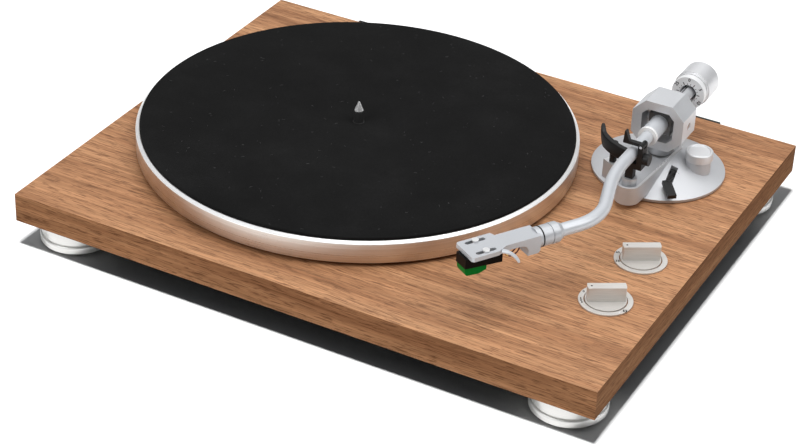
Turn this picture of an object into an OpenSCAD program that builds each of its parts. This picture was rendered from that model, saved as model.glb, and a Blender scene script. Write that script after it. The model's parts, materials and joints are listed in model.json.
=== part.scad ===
// Belt-drive turntable with an S-shaped arm and a wireless transmitter inside.
// Millimetres. Origin on the floor under the middle of the whole box, +X right, +Y back, +Z up.

/* [Plinth] */
// Width of the plinth
plinth_w = 420; // [412:1:460]
// Depth of the plinth, front to back
plinth_d = 340; // [336:1:380]
// Thickness of the plinth
plinth_t = 20.4; // [20:0.2:26]
// Wood left above the space routed into the underside
skin_t = 6; // [5:0.5:8]
// Wood left at the sides, front and back of that space
rim_wall = 14; // [12:0.5:18]

/* [Feet and bottom cover] */
// Radius of a foot's lower step
foot_r = 24.8; // [20:0.2:27]
// Height of the metal foot
foot_h = 17.6; // [14:0.2:24]
// Distance of a foot's axis from the plinth's two edges
foot_inset = 28.6; // [28:0.2:34]
// Height at which the groove between a foot's two steps starts
foot_groove_z = 5.6; // [4:0.2:8]
// Radius of a rubber foot pad
pad_r = 20; // [14:0.5:21]
// How far a rubber pad stands below the metal foot
pad_t = 2; // [1:0.2:4]
// Radius of a foot bolt
foot_bolt_r = 2.5; // [2:0.25:3]
// Sheet thickness of the bottom cover
cover_t = 2; // [1.5:0.1:2.5]
// Depth of the bottom cover's pan below the plinth
pan_depth = 11; // [10.5:0.1:13]
// Radius of a cover screw
cover_screw_r = 1.5; // [1.2:0.1:2]

/* [Platter] */
// Gap between the platter and the plinth's left edge
platter_margin = 9; // [6:0.1:14]
// Spindle axis, behind the plinth's middle
spindle_dy = 4.8; // [-2:0.1:12]
// Outer radius of the platter
platter_r = 151.7; // [146:0.1:154]
// Height of the platter's rim
platter_h = 15.5; // [14:0.1:18]
// Gap between the plinth and the platter's rim
platter_gap = 2.8; // [2:0.1:5]
// Bevel of the platter's top edge, measured inwards
bevel_in = 2.2; // [1:0.1:3]
// Bevel of the platter's top edge, measured downwards
bevel_down = 1.5; // [1:0.1:3]
// Thickness of the platter's rim
rim_t = 8; // [5:0.5:12]
// Thickness of the platter's web
web_t = 5; // [4:0.5:6]
// Thickness of the slip mat
mat_t = 2; // [1.5:0.1:3]
// Radius of the spindle where a record sits
pin_r = 3.6; // [3.55:0.01:3.65]
// Height of the spindle's straight pin above the mat
pin_h = 7.6; // [5:0.1:10]
// Height of the cone on the spindle's tip
pin_cone_h = 7.4; // [4:0.1:9]

/* [Main bearing] */
// Radius of the spindle's bearing shaft
shaft_r = 5; // [4:0.1:6]
// Running clearance of the shaft in its bush
shaft_fit = 0.03; // [0.02:0.01:0.08]
// Wall of the bronze bush
bush_wall = 2; // [1.5:0.1:3]
// Wall of the bearing housing
housing_wall = 2; // [1.5:0.1:3]
// Radius of the housing's flange
flange_r = 20; // [18:0.5:24]
// Length of the bearing shaft below the plinth's top
shaft_drop = 20; // [16:0.5:21]
// Radius of the thrust ball
ball_r = 2.5; // [2:0.1:3]

/* [Motor] */
// Gap between the motor's plate and the platter's rim
motor_gap = 4.7; // [3:0.1:8]
// Distance of the motor's axis from the ring that the belt runs on
drive_gap = 20; // [18:0.5:30]
// Direction of the motor, seen from the spindle
motor_dir = 150; // [120:1:170]
// Radius of the belt pulley
pulley_r = 7; // [6:0.1:9]
// Height of the belt
belt_h = 5; // [4:0.5:6]
// Thickness of the belt
belt_t = 0.8; // [0.6:0.1:1.2]
// Gap between the belt and the faces it runs on
belt_gap = 0.3; // [0.2:0.05:0.4]
// Radius of the motor can
motor_r = 16; // [12:0.5:18]
// Height of the motor can
motor_h = 20; // [15:0.5:22]

/* [Arm base] */
// Gap between the platter and the base's round flange
base_gap = 9; // [8:0.1:14]
// Direction of the arm pivot, seen from the spindle
pivot_dir = 23.77; // [20:0.01:28]
// Radius of the base's round flange
base_r = 45.7; // [43:0.1:48]
// Thickness of that flange
base_flange_t = 2.5; // [2:0.1:4]
// Height of the tray's rim above the plinth
tray_z = 17; // [16:0.1:18.5]
// Depth of the tray
tray_depth = 2.5; // [2:0.1:4]
// Radius of the tray's round back end
tray_back_r = 12.5; // [11.5:0.1:14]
// Radius of the tray's round nose
tray_nose_r = 8.5; // [8:0.1:10]
// Distance of the nose's centre in front of the pivot
tray_nose_y = 54; // [50:0.5:58]
// Height of the overhanging nose above the plinth
nose_z = 4; // [3:0.1:6]
// Radius of the anti-skate knob
skate_r = 9.4; // [8:0.1:10]
// Height of the anti-skate knob
skate_h = 6.6; // [5:0.1:9]
// Distance of the anti-skate knob to the right of the pivot
skate_x = 27.5; // [26:0.5:30]

/* [Arm] */
// Height of the arm's axis above the plinth
arm_z = 39; // [38:0.1:42]
// Outer radius of the arm tube
tube_r = 4.3; // [3.5:0.1:4.6]
// Wall of the arm tube
tube_wall = 0.9; // [0.6:0.1:1.5]
// Length of the tube's straight run in front of the pivot
tube_run = 66; // [64:0.5:76]
// Radius of the tube's first bend
bend1_r = 124; // [100:1:140]
// Angle of the tube's first bend
bend1_a = 16.5; // [14:0.5:20]
// Straight length between the two bends
bend_gap = 20.5; // [14:0.5:26]
// Radius of the tube's second bend
bend2_r = 41.5; // [38:0.5:50]
// Angle of the headshell to the straight run
shell_a = 31.5; // [28:0.5:34]
// Straight length between the second bend and the collar
tube_end = 13; // [9:0.5:16]
// Outer width of the gimbal yoke
yoke_w = 37; // [35:0.5:40]
// Outer height of the gimbal yoke
yoke_h = 34.5; // [32:0.5:36]
// Depth of the gimbal yoke along the arm
yoke_d = 23; // [18:0.5:26]
// Width of the yoke's opening
yoke_in_w = 23; // [21:0.5:24]
// Height of the yoke's opening
yoke_in_h = 22; // [20:0.5:23]
// Radius of the front sleeve on the tube
sleeve_r = 6.3; // [5.5:0.1:7]
// Radius of the rear stub
stub_r = 4.2; // [3.5:0.1:4.6]
// Running clearance of the arm's turning and sliding fits
arm_fit = 0.05; // [0.02:0.01:0.08]

/* [Counterweight] */
// Distance of the force dial's face behind the pivot
dial_y = 43.4; // [40:0.2:48]
// Radius of the force dial
dial_r = 12; // [11:0.1:14]
// Length of the force dial
dial_t = 5; // [4:0.1:7]
// Radius of the counterweight
weight_r = 13; // [12:0.1:16]
// Length of the counterweight behind the dial
weight_l = 20; // [16:0.5:24]

/* [Headshell and cartridge] */
// Radius of the locking collar
collar_r = 6.9; // [6.4:0.1:8]
// Length of the locking collar
collar_l = 15; // [12:0.5:18]
// Width of the headshell's neck
neck_w = 13.6; // [12:0.1:15]
// Length of the headshell's neck
neck_l = 25.5; // [24:0.5:30]
// Width of the headshell's front plate
shell_w = 20.4; // [19.5:0.1:23]
// Length of the headshell's front plate
shell_l = 26; // [25:0.5:28]
// Thickness of the headshell's plate
shell_t = 3; // [2:0.1:4]
// Height of the headshell's top above the arm's axis
shell_top = 5.3; // [5:0.1:7]
// Distance between the two cartridge screws
screw_pitch = 12.7; // [12:0.1:13]
// Width of the cartridge over its two screw ears
cart_w = 16.4; // [16:0.1:18]
// Width of the cartridge's front end
cart_nose_w = 10.8; // [10:0.1:12]
// Height of the cartridge body
cart_h = 7; // [6.5:0.1:9]
// Height of the stylus holder under the body
holder_h = 5.6; // [4:0.1:7]
// Drop of the stylus tip below its holder
stylus_drop = 4.6; // [3:0.1:5]

/* [Arm rest and lifter] */
// Distance of the arm rest in front of the pivot
rest_y = 53; // [50:0.5:54]
// Depth of the arm rest along the arm
rest_d = 8; // [7:0.5:9]
// Gap below the tube in the arm rest
rest_gap = 1; // [0.8:0.1:1.5]
// Gap between the tube and the arm lock's strap
lock_gap = 2.5; // [2.5:0.1:4]
// Radius of the lifter's curve about the pivot
lifter_r = 41; // [40:0.5:43]
// Gap between the tube and the lowered lifter
lifter_gap = 1.8; // [1.7:0.1:2.4]
// Radius of the lift piston
piston_r = 2.5; // [2:0.1:3]

/* [Controls] */
// Distance of the knobs from the plinth's right edge
knob_inset = 35; // [30:0.5:40]
// Speed knob, behind the plinth's middle
speed_dy = -24.5; // [-30:0.5:-20]
// Start knob, behind the plinth's middle
start_dy = -79.5; // [-88:0.5:-74]
// Outer radius of a knob's bezel
bezel_r = 17.3; // [16:0.1:20]
// Thickness of a bezel
bezel_t = 1.2; // [0.8:0.1:2]
// Radius of a knob's disc
knob_r = 13.2; // [12:0.1:14]
// Width of the gap round a knob
knob_gap = 0.6; // [0.4:0.1:1]
// Height of a knob's bar handle
bar_h = 10; // [7:0.5:13]
// Thickness of a knob's bar handle
bar_t = 6.2; // [4:0.2:8]
// Angle of the bars to the plinth's front edge
bar_a = 32; // [20:1:45]

/* [Rear] */
// Reach of the hinge sockets behind the plinth
socket_reach = 15; // [14:0.5:18]
// Width of a hinge socket
socket_w = 23; // [20:0.5:26]
// Height of a hinge socket
socket_h = 12; // [10:0.5:13]
// Distance of the hinge sockets from the plinth's sides
socket_inset = 73; // [60:1:85]
// Width of the rear panel
panel_w = 104; // [100:1:112]
// Middle of the rear panel, right of the plinth's middle
panel_x = -36; // [-44:1:-30]
// Radius of a phono jack's outer shell
jack_r = 4.15; // [4.1:0.01:4.2]
// Length of a phono jack outside the panel
jack_l = 9; // [8:0.1:10]

/* [Hidden] */
$fn = 64;

// Small gap between solids that are fastened together
snug = 0.02;
// Overshoot of a cutting shape
over = 1;
// Free gap between solids that move past each other
free_gap = 0.3;

// Levels above the floor
under_z = pad_t + foot_h;
top_z = under_z + plinth_t;
roof_z = top_z - skin_t;
cover_z = under_z - cover_t;
pan_z = under_z - pan_depth;

// The plinth sits forward of the origin by half the hinge sockets' reach
plinth_y = -socket_reach / 2;
back_y = plinth_y + plinth_d / 2;
spindle = [-plinth_w / 2 + platter_margin + platter_r, plinth_y + spindle_dy];
pivot = spindle + (platter_r + base_gap + base_r) * [cos(pivot_dir), sin(pivot_dir)];
motor_plate_r = motor_r + 3;
motor_screw_at = motor_r + 6;
motor_ear_r = 5;
motor_dist = platter_r - rim_t - motor_gap - motor_screw_at - motor_ear_r;
motor_at = spindle + motor_dist * [cos(motor_dir), sin(motor_dir)];
drive_r = motor_dist - drive_gap;
knob_x = plinth_w / 2 - knob_inset;
socket_x = plinth_w / 2 - socket_inset;
foot_x = plinth_w / 2 - foot_inset;
foot_y = plinth_d / 2 - foot_inset;

// Routed space: two crossed rectangles that leave a wooden block over each foot
cover_lap = 6;
foot_room = foot_inset + foot_r + 1.6;
space_w = plinth_w - 2 * rim_wall;
space_d = plinth_d - 2 * rim_wall;
cross_w = plinth_w - 2 * foot_room - 2 * cover_lap;
cross_d = plinth_d - 2 * foot_room - 2 * cover_lap;
pan_w = cross_w + 48;
pan_d = cross_d - 34;

// Platter levels above the plinth's top
platter_top = platter_gap + platter_h;
web_z = platter_top - web_t;
mat_top = platter_top + mat_t;
mat_r = platter_r - bevel_in;
seat_r = pin_r + 0.4;
hub_flange_r = 14;
hub_flange_t = 3;
hub_z = web_z - hub_flange_t;
bush_r = shaft_r + shaft_fit + bush_wall;
housing_r = bush_r + snug + housing_wall;
housing_top = hub_z - 0.5;
ring_t = 4;
ring_drop = 9.5;
belt_z = web_z - ring_drop + 2;
plate_z = 2;
plate_t = 1.5;

// Screws: shaft radius, head radius and head height in one row
m3 = [1.5, 2.8, 1.8];
deck_screw_l = 8;
foot_floor_t = 6;
foot_bolt_in = 11;
bolt_room_r = 6;
cover_screw_in = 8;
hole_spare = 1;
pilot = 0.05;

// Arm base
base_bore_r = 10;
base_screw_at = 17;
base_screw_in = 5;
floor_z = tray_z - tray_depth;
tray_wall = 1.8;
cone_top_r = 11.5;
tray_back_y = 6;
block_w = 11;
block_d = 7.6;
piston_dir = 239;
piston_in = 1.5;
piston_at = (lifter_r - piston_in) * [cos(piston_dir), sin(piston_dir)];
skate_at = [skate_x, 2];
skate_boss_z = 15.5;
skate_pin_r = 3;
skate_boss_in = 0.9;
rest_boss_r = 5;
rest_boss_z = floor_z + 6.5;
rest_stem = 5.4;

// Arm: the tube's path in plan, seen from the pivot, with the arm at rest
bend1_end = [bend1_r * (1 - cos(bend1_a)), -tube_run - bend1_r * sin(bend1_a)];
bend2_start = bend1_end + bend_gap * [sin(bend1_a), -cos(bend1_a)];
bend2_mid = bend2_start - bend2_r * [cos(bend1_a), sin(bend1_a)];
bend2_end = bend2_mid + bend2_r * [cos(shell_a), -sin(shell_a)];
shell_dir = [-sin(shell_a), -cos(shell_a)];
collar_at = bend2_end + tube_end * shell_dir;
hub_w = 16;
hub_l = 14;
sleeve_front = 28;
sleeve_ring_l = 2.2;
post_r = 8;
yoke_shaft_r = 4;
yoke_shaft_drop = 14;
bearing_r = 8;
bearing_h = 4;
pivot_screw_r = 2.6;

// Ferrules over the tube's joints
ferrule_gap = 0.4;
ferrule_l = 2.4;
ferrule_t = 0.2;

// Counterweight
hole_r = 5.9;
dial_seat_r = 8;
stub_short = 8;
stub_end = dial_y + dial_t + weight_l - stub_short;

// Headshell, measured forward from the collar's rear end
washer_t = 0.8;
flange_l = 2.6;
flange_in = 0.3;
neck_s = collar_l + washer_t + flange_l;
plate_s = neck_s + neck_l;
front_s = plate_s + shell_l;
plate_under = shell_top - shell_t;
screw_in = 14.3;
screw_s = plate_s + screw_in;
slot_reach = 5.8;
cart_l = 25;
cart_front = 2;
cart_rear_w = 16;
ear_s = 3.8;
ear_h = 3.2;
holder_l = 14;
shoulder_left = 1.4;
shoulder_right = 7;
plug_r = tube_r - tube_wall - snug;
body_under = plate_under - cart_h;
holder_under = body_under - holder_h;
stylus_in = 5;
stylus_s = front_s - stylus_in;
cart_screw_r = 1.25;
cart_screw_in = 2.4;
wire_xs = [-4.5, -1.5, 1.5, 4.5];
wire_drop = 2.4;
wire_pin_l = 3;
wire_pin_r = 0.6;

// Arm rest and lock, heights measured from the arm's axis
strap_z = tube_r + lock_gap;
strap_t = 2.2;
rest_post_x = tube_r + 0.7;
knuckle_r = 1.8;
rest_post_t = 2 * knuckle_r;
lock_axis = [rest_post_x + knuckle_r, strap_z + strap_t / 2];
lock_pin_r = 1;
spike_h = 9;
ear_t = 2;
knuckle_l = rest_d - 2 * ear_t - 2 * free_gap;

// Lifter
lifter_t = 9.4;
lifter_w = 4;
lifter_top = arm_z - tube_r - lifter_gap;
lifter_from = 214;
lifter_to = 272;
horn_step_a = 1.5;
horn_steps = [3.6, 2.8, 1.8, 0.8];
keel_step_a = 3;
keel_steps = [2.6, 4.6, 6.6, 8.2];

// Cue lever: its axle runs along X through this point
lever_at = [16.5, -15, 9.5];
lever_hub_r = 2.6;
lever_hub_l = 3.6;
lever_slot_w = 4.9;
lever_slot_l = 17;
lever_slot_down = 6;
axle_r = 1.2;
axle_l = 7.6;
stem_r = 1.7;
stem_end = [2.2, -16.5, 1.2];
paddle_end = [10.8, -27.5, -1.2];

// Controls
knob_lift = 0.4;
knob_disc_t = 1.2;
knob_shaft_r = 3;
switch_w = 14;
switch_h = 7;
switch_room = 0.5;

// Rear
window_h = plinth_t - skin_t;
panel_t = 1.6;
panel_in = 2;
panel_y = back_y - panel_in - panel_t;
board_t = 1.6;
board_z = under_z + 1.5;
board_w = 92;
board_d = 44;
board_y = panel_y - 1 - board_d / 2;
inlet_h = 9.2;
jack_axis_z = board_z + board_t + inlet_h / 2;
jack_xs = [-16, 2];
jack_neck_r = 3.4;
earth_x = 20;
earth_r = 2;
power_x = 33;
power_nose_r = 4;
power_bore_r = 2.75;
power_bore_l = 8;

// Places that several pieces share
foot_places = [for (sx = [-1, 1], sy = [-1, 1]) [sx * foot_x, plinth_y + sy * foot_y]];
cover_screw_places = [
    for (sx = [-1, 1], sy = [-1, 1]) [sx * (space_w + cover_lap) / 2, plinth_y + sy * cross_d * 0.3],
    for (sx = [-1, 1], sy = [-1, 1]) [sx * cross_w * 0.45, plinth_y + sy * (space_d + cover_lap) / 2]
];
knob_places = [[knob_x, plinth_y + start_dy], [knob_x, plinth_y + speed_dy]];
peg_in = 4;
board_posts = [
    for (sx = [-1, 1], sy = [-1, 1])
        [panel_x + sx * (board_w / 2 - peg_in), board_y + sy * (board_d / 2 - peg_in)]
];

module at_spindle() {
    translate([spindle.x, spindle.y, top_z]) children();
}

module at_motor() {
    translate([motor_at.x, motor_at.y, top_z]) children();
}

module at_pivot() {
    translate([pivot.x, pivot.y, top_z]) children();
}

module at_arm() {
    translate([pivot.x, pivot.y, top_z + arm_z]) children();
}

// Headshell frame: -Y runs forward along the headshell, from the collar's rear end
module at_shell() {
    at_arm() translate(collar_at) rotate(-shell_a) children();
}

// Tube along -Y from one distance to another
module forward(from, to, r) {
    translate([0, -from, 0]) rotate([90, 0, 0]) cylinder(h = to - from, r = r);
}

// Round bar between two points
module bar(a, b, r) {
    d = b - a;
    flat = norm([d.x, d.y]);
    translate(a) rotate([0, atan2(flat, d.z), atan2(d.y, d.x)]) cylinder(h = norm(d), r = r);
}

// Flat outline round two circles with straight sides between them
module two_rounds(a, ra, b, rb) {
    d = b - a;
    lean = acos((ra - rb) / norm(d));
    aim = atan2(d.y, d.x);
    steps = 32;
    function rim(c, r, t) = c + r * [cos(aim + t), sin(aim + t)];
    polygon(concat(
        [for (i = [0:steps]) rim(a, ra, lean + i * (360 - 2 * lean) / steps)],
        [for (i = [0:steps]) rim(b, rb, -lean + i * 2 * lean / steps)]
    ));
}

// Screw with its head up, standing on the level z = 0
module screw(kind, length) {
    cylinder(h = kind[2], r = kind[1]);
    translate([0, 0, -length]) cylinder(h = length, r = kind[0]);
}

// Octagonal outline with even corner cuts
module octagon(w, h, cut) {
    polygon([
        [-w / 2 + cut, -h / 2], [w / 2 - cut, -h / 2], [w / 2, -h / 2 + cut], [w / 2, h / 2 - cut],
        [w / 2 - cut, h / 2], [-w / 2 + cut, h / 2], [-w / 2, h / 2 - cut], [-w / 2, -h / 2 + cut]
    ]);
}

module crossed_rectangles(lap) {
    square([space_w + 2 * lap, cross_d + 2 * lap], center = true);
    square([cross_w + 2 * lap, space_d + 2 * lap], center = true);
}

module plinth() {
    color("#a8774e") difference() {
        translate([0, plinth_y, under_z + plinth_t / 2])
            cube([plinth_w, plinth_d, plinth_t], center = true);
        translate([0, plinth_y, under_z - over]) linear_extrude(plinth_t - skin_t + over)
            crossed_rectangles(0);
        translate([panel_x, back_y - rim_wall / 2, under_z + window_h / 2 - over / 2])
            cube([panel_w + snug, rim_wall + 2 * over, window_h + over], center = true);
        at_spindle() translate([0, 0, -2 * plinth_t]) cylinder(h = 3 * plinth_t, r = housing_r + 0.5);
        at_motor() translate([0, 0, -2 * plinth_t]) cylinder(h = 3 * plinth_t, r = motor_r + 1);
        at_pivot() translate([0, 0, -2 * plinth_t]) cylinder(h = 3 * plinth_t, r = base_bore_r + 2);
        at_pivot() translate([0, 0, -2 * plinth_t])
            cylinder(h = 2 * plinth_t - skin_t, r = base_screw_at + m3[1] + switch_room);
        for (p = knob_places) {
            translate([p.x, p.y, under_z - over])
                cylinder(h = 2 * plinth_t, r = knob_shaft_r + 0.5);
            translate([p.x, p.y, under_z - over]) linear_extrude(plinth_t - skin_t + over)
                square(switch_w + 2 * switch_room, center = true);
        }
        for (p = foot_places)
            translate([p.x, p.y, under_z - over])
                cylinder(h = foot_bolt_in + hole_spare + over, r = foot_bolt_r + pilot);
        for (p = cover_screw_places)
            translate([p.x, p.y, under_z - over])
                cylinder(h = cover_screw_in + hole_spare + over, r = cover_screw_r + pilot);
        bearing_screw_places(-skin_t - over) cylinder(h = skin_t + 2 * over, r = m3[0] + pilot);
        motor_screw_places(-skin_t - over) cylinder(h = skin_t + 2 * over, r = m3[0] + pilot);
        base_screw_places(-skin_t - over) cylinder(h = skin_t + 2 * over, r = m3[0] + pilot);
    }
}

module bottom_cover() {
    color("#26282a") difference() {
        union() {
            translate([0, plinth_y, cover_z]) linear_extrude(cover_t) crossed_rectangles(cover_lap);
            translate([-pan_w / 2, plinth_y - pan_d / 2, pan_z]) cube([pan_w, pan_d, pan_depth]);
            translate([panel_x - panel_w / 2, back_y - rim_wall, cover_z])
                cube([panel_w, rim_wall - panel_in, cover_t]);
            for (p = board_posts) {
                translate([p.x, p.y, cover_z]) cylinder(h = board_z - cover_z, r = 3.5);
                translate([p.x, p.y, cover_z]) cylinder(h = board_z - cover_z + board_t + 1, r = 1.5);
            }
        }
        translate([-pan_w / 2 + cover_t, plinth_y - pan_d / 2 + cover_t, pan_z + cover_t])
            cube([pan_w - 2 * cover_t, pan_d - 2 * cover_t, pan_depth]);
        for (p = cover_screw_places)
            translate([p.x, p.y, cover_z - over])
                cylinder(h = cover_t + 2 * over, r = cover_screw_r + pilot);
    }
}

module cover_screws() {
    color("#3a3c3e") for (p = cover_screw_places)
        translate([p.x, p.y, cover_z]) mirror([0, 0, 1])
            screw([cover_screw_r, 2.8, 1.8], cover_t + cover_screw_in);
}

// Foot turned on a lathe: two steps with a groove between them
module foot(i) {
    p = foot_places[i];
    z0 = pad_t;
    groove = z0 + foot_groove_z;
    color("#d6d7d6") translate([p.x, p.y, 0]) difference() {
        rotate_extrude() polygon([
            [0, z0], [foot_r - 0.8, z0], [foot_r, z0 + 0.8], [foot_r, groove - 0.6], [foot_r - 0.6, groove],
            [foot_r - 1.8, groove], [foot_r - 1.8, groove + 0.8], [foot_r - 1, groove + 0.8],
            [foot_r - 1, under_z - 0.6], [foot_r - 1.6, under_z], [0, under_z]
        ]);
        translate([0, 0, z0 - over]) cylinder(h = 1 + over, r = pad_r + snug);
        translate([0, 0, z0 - over]) cylinder(h = foot_h - foot_floor_t + over, r = bolt_room_r);
        cylinder(h = under_z + over, r = foot_bolt_r + pilot);
    }
}

module foot_front_left() {
    foot(0);
}

module foot_rear_left() {
    foot(1);
}

module foot_front_right() {
    foot(2);
}

module foot_rear_right() {
    foot(3);
}

module foot_pads() {
    color("#1b1b1c") for (p = foot_places)
        translate([p.x, p.y, 0]) difference() {
            cylinder(h = pad_t + 1, r = pad_r);
            translate([0, 0, -over]) cylinder(h = pad_t + 1 + 2 * over, r = bolt_room_r);
        }
}

module foot_bolts() {
    seat = under_z - foot_floor_t;
    color("#b9bbbd") for (p = foot_places)
        translate([p.x, p.y, seat]) mirror([0, 0, 1])
            screw([foot_bolt_r, 4.6, 3], foot_floor_t + foot_bolt_in);
}

// Platter: bevelled rim, web, inner drive ring and hub in one casting
module platter() {
    ring_z = web_z - ring_drop;
    color("#cfcfcd") at_spindle() difference() {
        union() {
            rotate_extrude($fn = 180) polygon([
                [0, web_z], [platter_r - rim_t, web_z], [platter_r - rim_t, platter_gap],
                [platter_r - 0.5, platter_gap], [platter_r, platter_gap + 0.5],
                [platter_r, platter_top - bevel_down], [mat_r, platter_top], [0, platter_top]
            ]);
            translate([0, 0, ring_z]) difference() {
                cylinder(h = ring_drop + web_t / 2, r = drive_r);
                translate([0, 0, -over]) cylinder(h = ring_drop + web_t + over, r = drive_r - ring_t);
            }
        }
        translate([0, 0, -over]) cylinder(h = platter_top + 2 * over, r = seat_r + snug);
    }
}

module slip_mat() {
    color("#1d1d1e") at_spindle() translate([0, 0, platter_top]) difference() {
        cylinder(h = mat_t, r = mat_r - 0.3);
        translate([0, 0, -over]) cylinder(h = mat_t + 2 * over, r = seat_r + free_gap);
    }
}

// Spindle: bearing shaft, flange under the platter's web, seat for the platter, record pin with a cone tip
module spindle() {
    pin_top = mat_top + pin_h;
    color("#d9dadb") at_spindle() union() {
        translate([0, 0, -shaft_drop]) cylinder(h = shaft_drop + hub_z + hub_flange_t / 2, r = shaft_r);
        translate([0, 0, hub_z]) cylinder(h = hub_flange_t, r = hub_flange_r);
        translate([0, 0, web_z - hub_flange_t / 2])
            cylinder(h = mat_top - web_z + hub_flange_t / 2, r = seat_r);
        translate([0, 0, mat_top - over]) cylinder(h = pin_h + over, r = pin_r);
        translate([0, 0, pin_top]) cylinder(h = pin_cone_h, r1 = pin_r, r2 = 0.5);
    }
}

module bearing_screw_places(z) {
    at_spindle() for (i = [0:2])
        rotate(90 + 120 * i) translate([(housing_r + flange_r) / 2, 0, z]) children();
}

module bearing_housing() {
    bottom = shaft_drop + 2 * ball_r + 1.5;
    color("#8d8f92") difference() {
        at_spindle() union() {
            cylinder(h = 3, r = flange_r);
            translate([0, 0, -bottom]) cylinder(h = bottom + housing_top, r = housing_r);
        }
        at_spindle() translate([0, 0, -bottom + 1.5]) cylinder(h = bottom + housing_top, r = bush_r + snug);
        bearing_screw_places(-over) cylinder(h = 3 + 2 * over, r = m3[0] + pilot);
    }
}

module bearing_bush() {
    color("#b08a4f") at_spindle() translate([0, 0, -shaft_drop]) difference() {
        cylinder(h = shaft_drop + housing_top, r = bush_r);
        translate([0, 0, -over]) cylinder(h = shaft_drop + housing_top + 2 * over, r = shaft_r + shaft_fit);
    }
}

module thrust_ball() {
    color("#c9cbcd") at_spindle() translate([0, 0, -shaft_drop - ball_r - snug]) sphere(r = ball_r - snug);
}

// Equal screws for the bearing's flange and the motor's plate
module deck_screws() {
    color("#3a3c3e") bearing_screw_places(3) screw(m3, deck_screw_l);
    color("#3a3c3e") motor_screw_places(plate_z + plate_t) screw(m3, deck_screw_l);
}

// Points of the belt's path, so far out from the drive ring and the pulley
function belt_path(out) =
    let (
        aim = [cos(motor_dir), sin(motor_dir)],
        lean = acos((drive_r - pulley_r) / motor_dist),
        ring_step = (360 - 2 * lean) / 72
    )
    concat(
        [for (i = [0:72]) let (t = motor_dir + lean + i * ring_step) (drive_r + out) * [cos(t), sin(t)]],
        [for (i = [0:8]) let (t = motor_dir - lean + i * lean / 4)
            motor_dist * aim + (pulley_r + out) * [cos(t), sin(t)]]
    );

// Belt: a flat band round the drive ring and the pulley
module drive_belt() {
    color("#141414") at_spindle() translate([0, 0, belt_z]) linear_extrude(belt_h) difference() {
        polygon(belt_path(belt_gap + belt_t));
        polygon(belt_path(belt_gap));
    }
}

// Pulley pressed on the motor's shaft
module motor_pulley() {
    color("#c8a45a") at_motor() union() {
        translate([0, 0, belt_z - 0.6]) cylinder(h = belt_h + 1.2, r = pulley_r);
        translate([0, 0, belt_z - 1.6]) cylinder(h = 1, r = pulley_r + 1.6);
        translate([0, 0, plate_z - 6]) cylinder(h = belt_z - plate_z + 5, r = 1);
    }
}

// Motor can hung under its plate, with a nose that centres it
module motor() {
    color("#a9abad") at_motor() difference() {
        union() {
            translate([0, 0, plate_z - motor_h]) cylinder(h = motor_h, r = motor_r);
            translate([0, 0, plate_z - over]) cylinder(h = plate_t + over, r = 4);
        }
        translate([0, 0, plate_z - 7]) cylinder(h = 7 + plate_t + over, r = 1 + arm_fit);
    }
}

module motor_screw_places(z) {
    at_motor() for (i = [0:2])
        rotate(motor_dir + 120 * i) translate([motor_screw_at, 0, z]) children();
}

module motor_plate() {
    color("#9b9da0") difference() {
        union() {
            at_motor() translate([0, 0, plate_z]) cylinder(h = plate_t, r = motor_plate_r);
            motor_screw_places(plate_z) cylinder(h = plate_t, r = motor_ear_r);
        }
        at_motor() cylinder(h = plate_z + plate_t + over, r = 4 + snug);
        motor_screw_places(plate_z - over) cylinder(h = plate_t + 2 * over, r = m3[0] + pilot);
    }
}

module motor_grommets() {
    color("#1c1c1d") motor_screw_places(0) difference() {
        cylinder(h = plate_z, r = 4.5);
        translate([0, 0, -over]) cylinder(h = plate_z + 2 * over, r = m3[0] + pilot);
    }
}

module tray_outline(inset) {
    two_rounds([0, tray_back_y], tray_back_r - inset, [0, -tray_nose_y], tray_nose_r - inset);
}

module base_screw_places(z) {
    at_pivot() for (i = [0:2])
        rotate(30 + 120 * i) translate([base_screw_at, 0, z]) children();
}

// Arm base: flanged cone with the raised tray, the lifter's block and the anti-skate boss
module arm_base() {
    tray_t = tray_z - nose_z;
    color("#c9cacb") at_pivot() translate([0, -rest_y, floor_z - over])
        cylinder(h = rest_boss_z - floor_z + over, r = rest_boss_r);
    color("#c9cacb") difference() {
        at_pivot() union() {
            rotate_extrude($fn = 120) polygon([
                [0, 0], [base_r - 0.8, 0], [base_r, 0.8], [base_r, base_flange_t],
                [cone_top_r, tray_z - 0.6], [0, tray_z - 0.6]
            ]);
            translate([0, 0, nose_z]) linear_extrude(tray_t) tray_outline(0);
            rotate(piston_dir) translate([lifter_r - piston_in - block_d / 2, -block_w / 2, base_flange_t])
                cube([block_d, block_w, tray_z - base_flange_t]);
            translate([skate_at.x, skate_at.y, 1])
                cylinder(h = skate_boss_z - 1, r = skate_r - skate_boss_in);
        }
        at_pivot() {
            translate([0, 0, floor_z]) linear_extrude(tray_depth + over) tray_outline(tray_wall);
            translate([0, 0, -over]) cylinder(h = tray_z + over, r = base_bore_r + snug);
            translate([piston_at.x, piston_at.y, nose_z + 2]) cylinder(h = tray_z, r = piston_r + arm_fit);
            translate([skate_at.x, skate_at.y, 2]) cylinder(h = tray_z, r = skate_pin_r + arm_fit);
            translate(lever_at) rotate([0, 90, 0])
                cylinder(h = axle_l + 2 * free_gap, r = axle_r + arm_fit, center = true);
            translate(lever_at) rotate(atan2(stem_end.x, -stem_end.y))
                translate([-lever_slot_w / 2, -lever_slot_l, -lever_slot_down])
                    cube([lever_slot_w, lever_slot_l + lever_hub_r + 2 * free_gap, tray_z]);
        }
        base_screw_places(-over) cylinder(h = base_screw_in + hole_spare + over, r = m3[0] + pilot);
    }
}

module arm_base_screws() {
    color("#3a3c3e") base_screw_places(-skin_t) mirror([0, 0, 1]) screw(m3, skin_t + base_screw_in);
}

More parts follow.
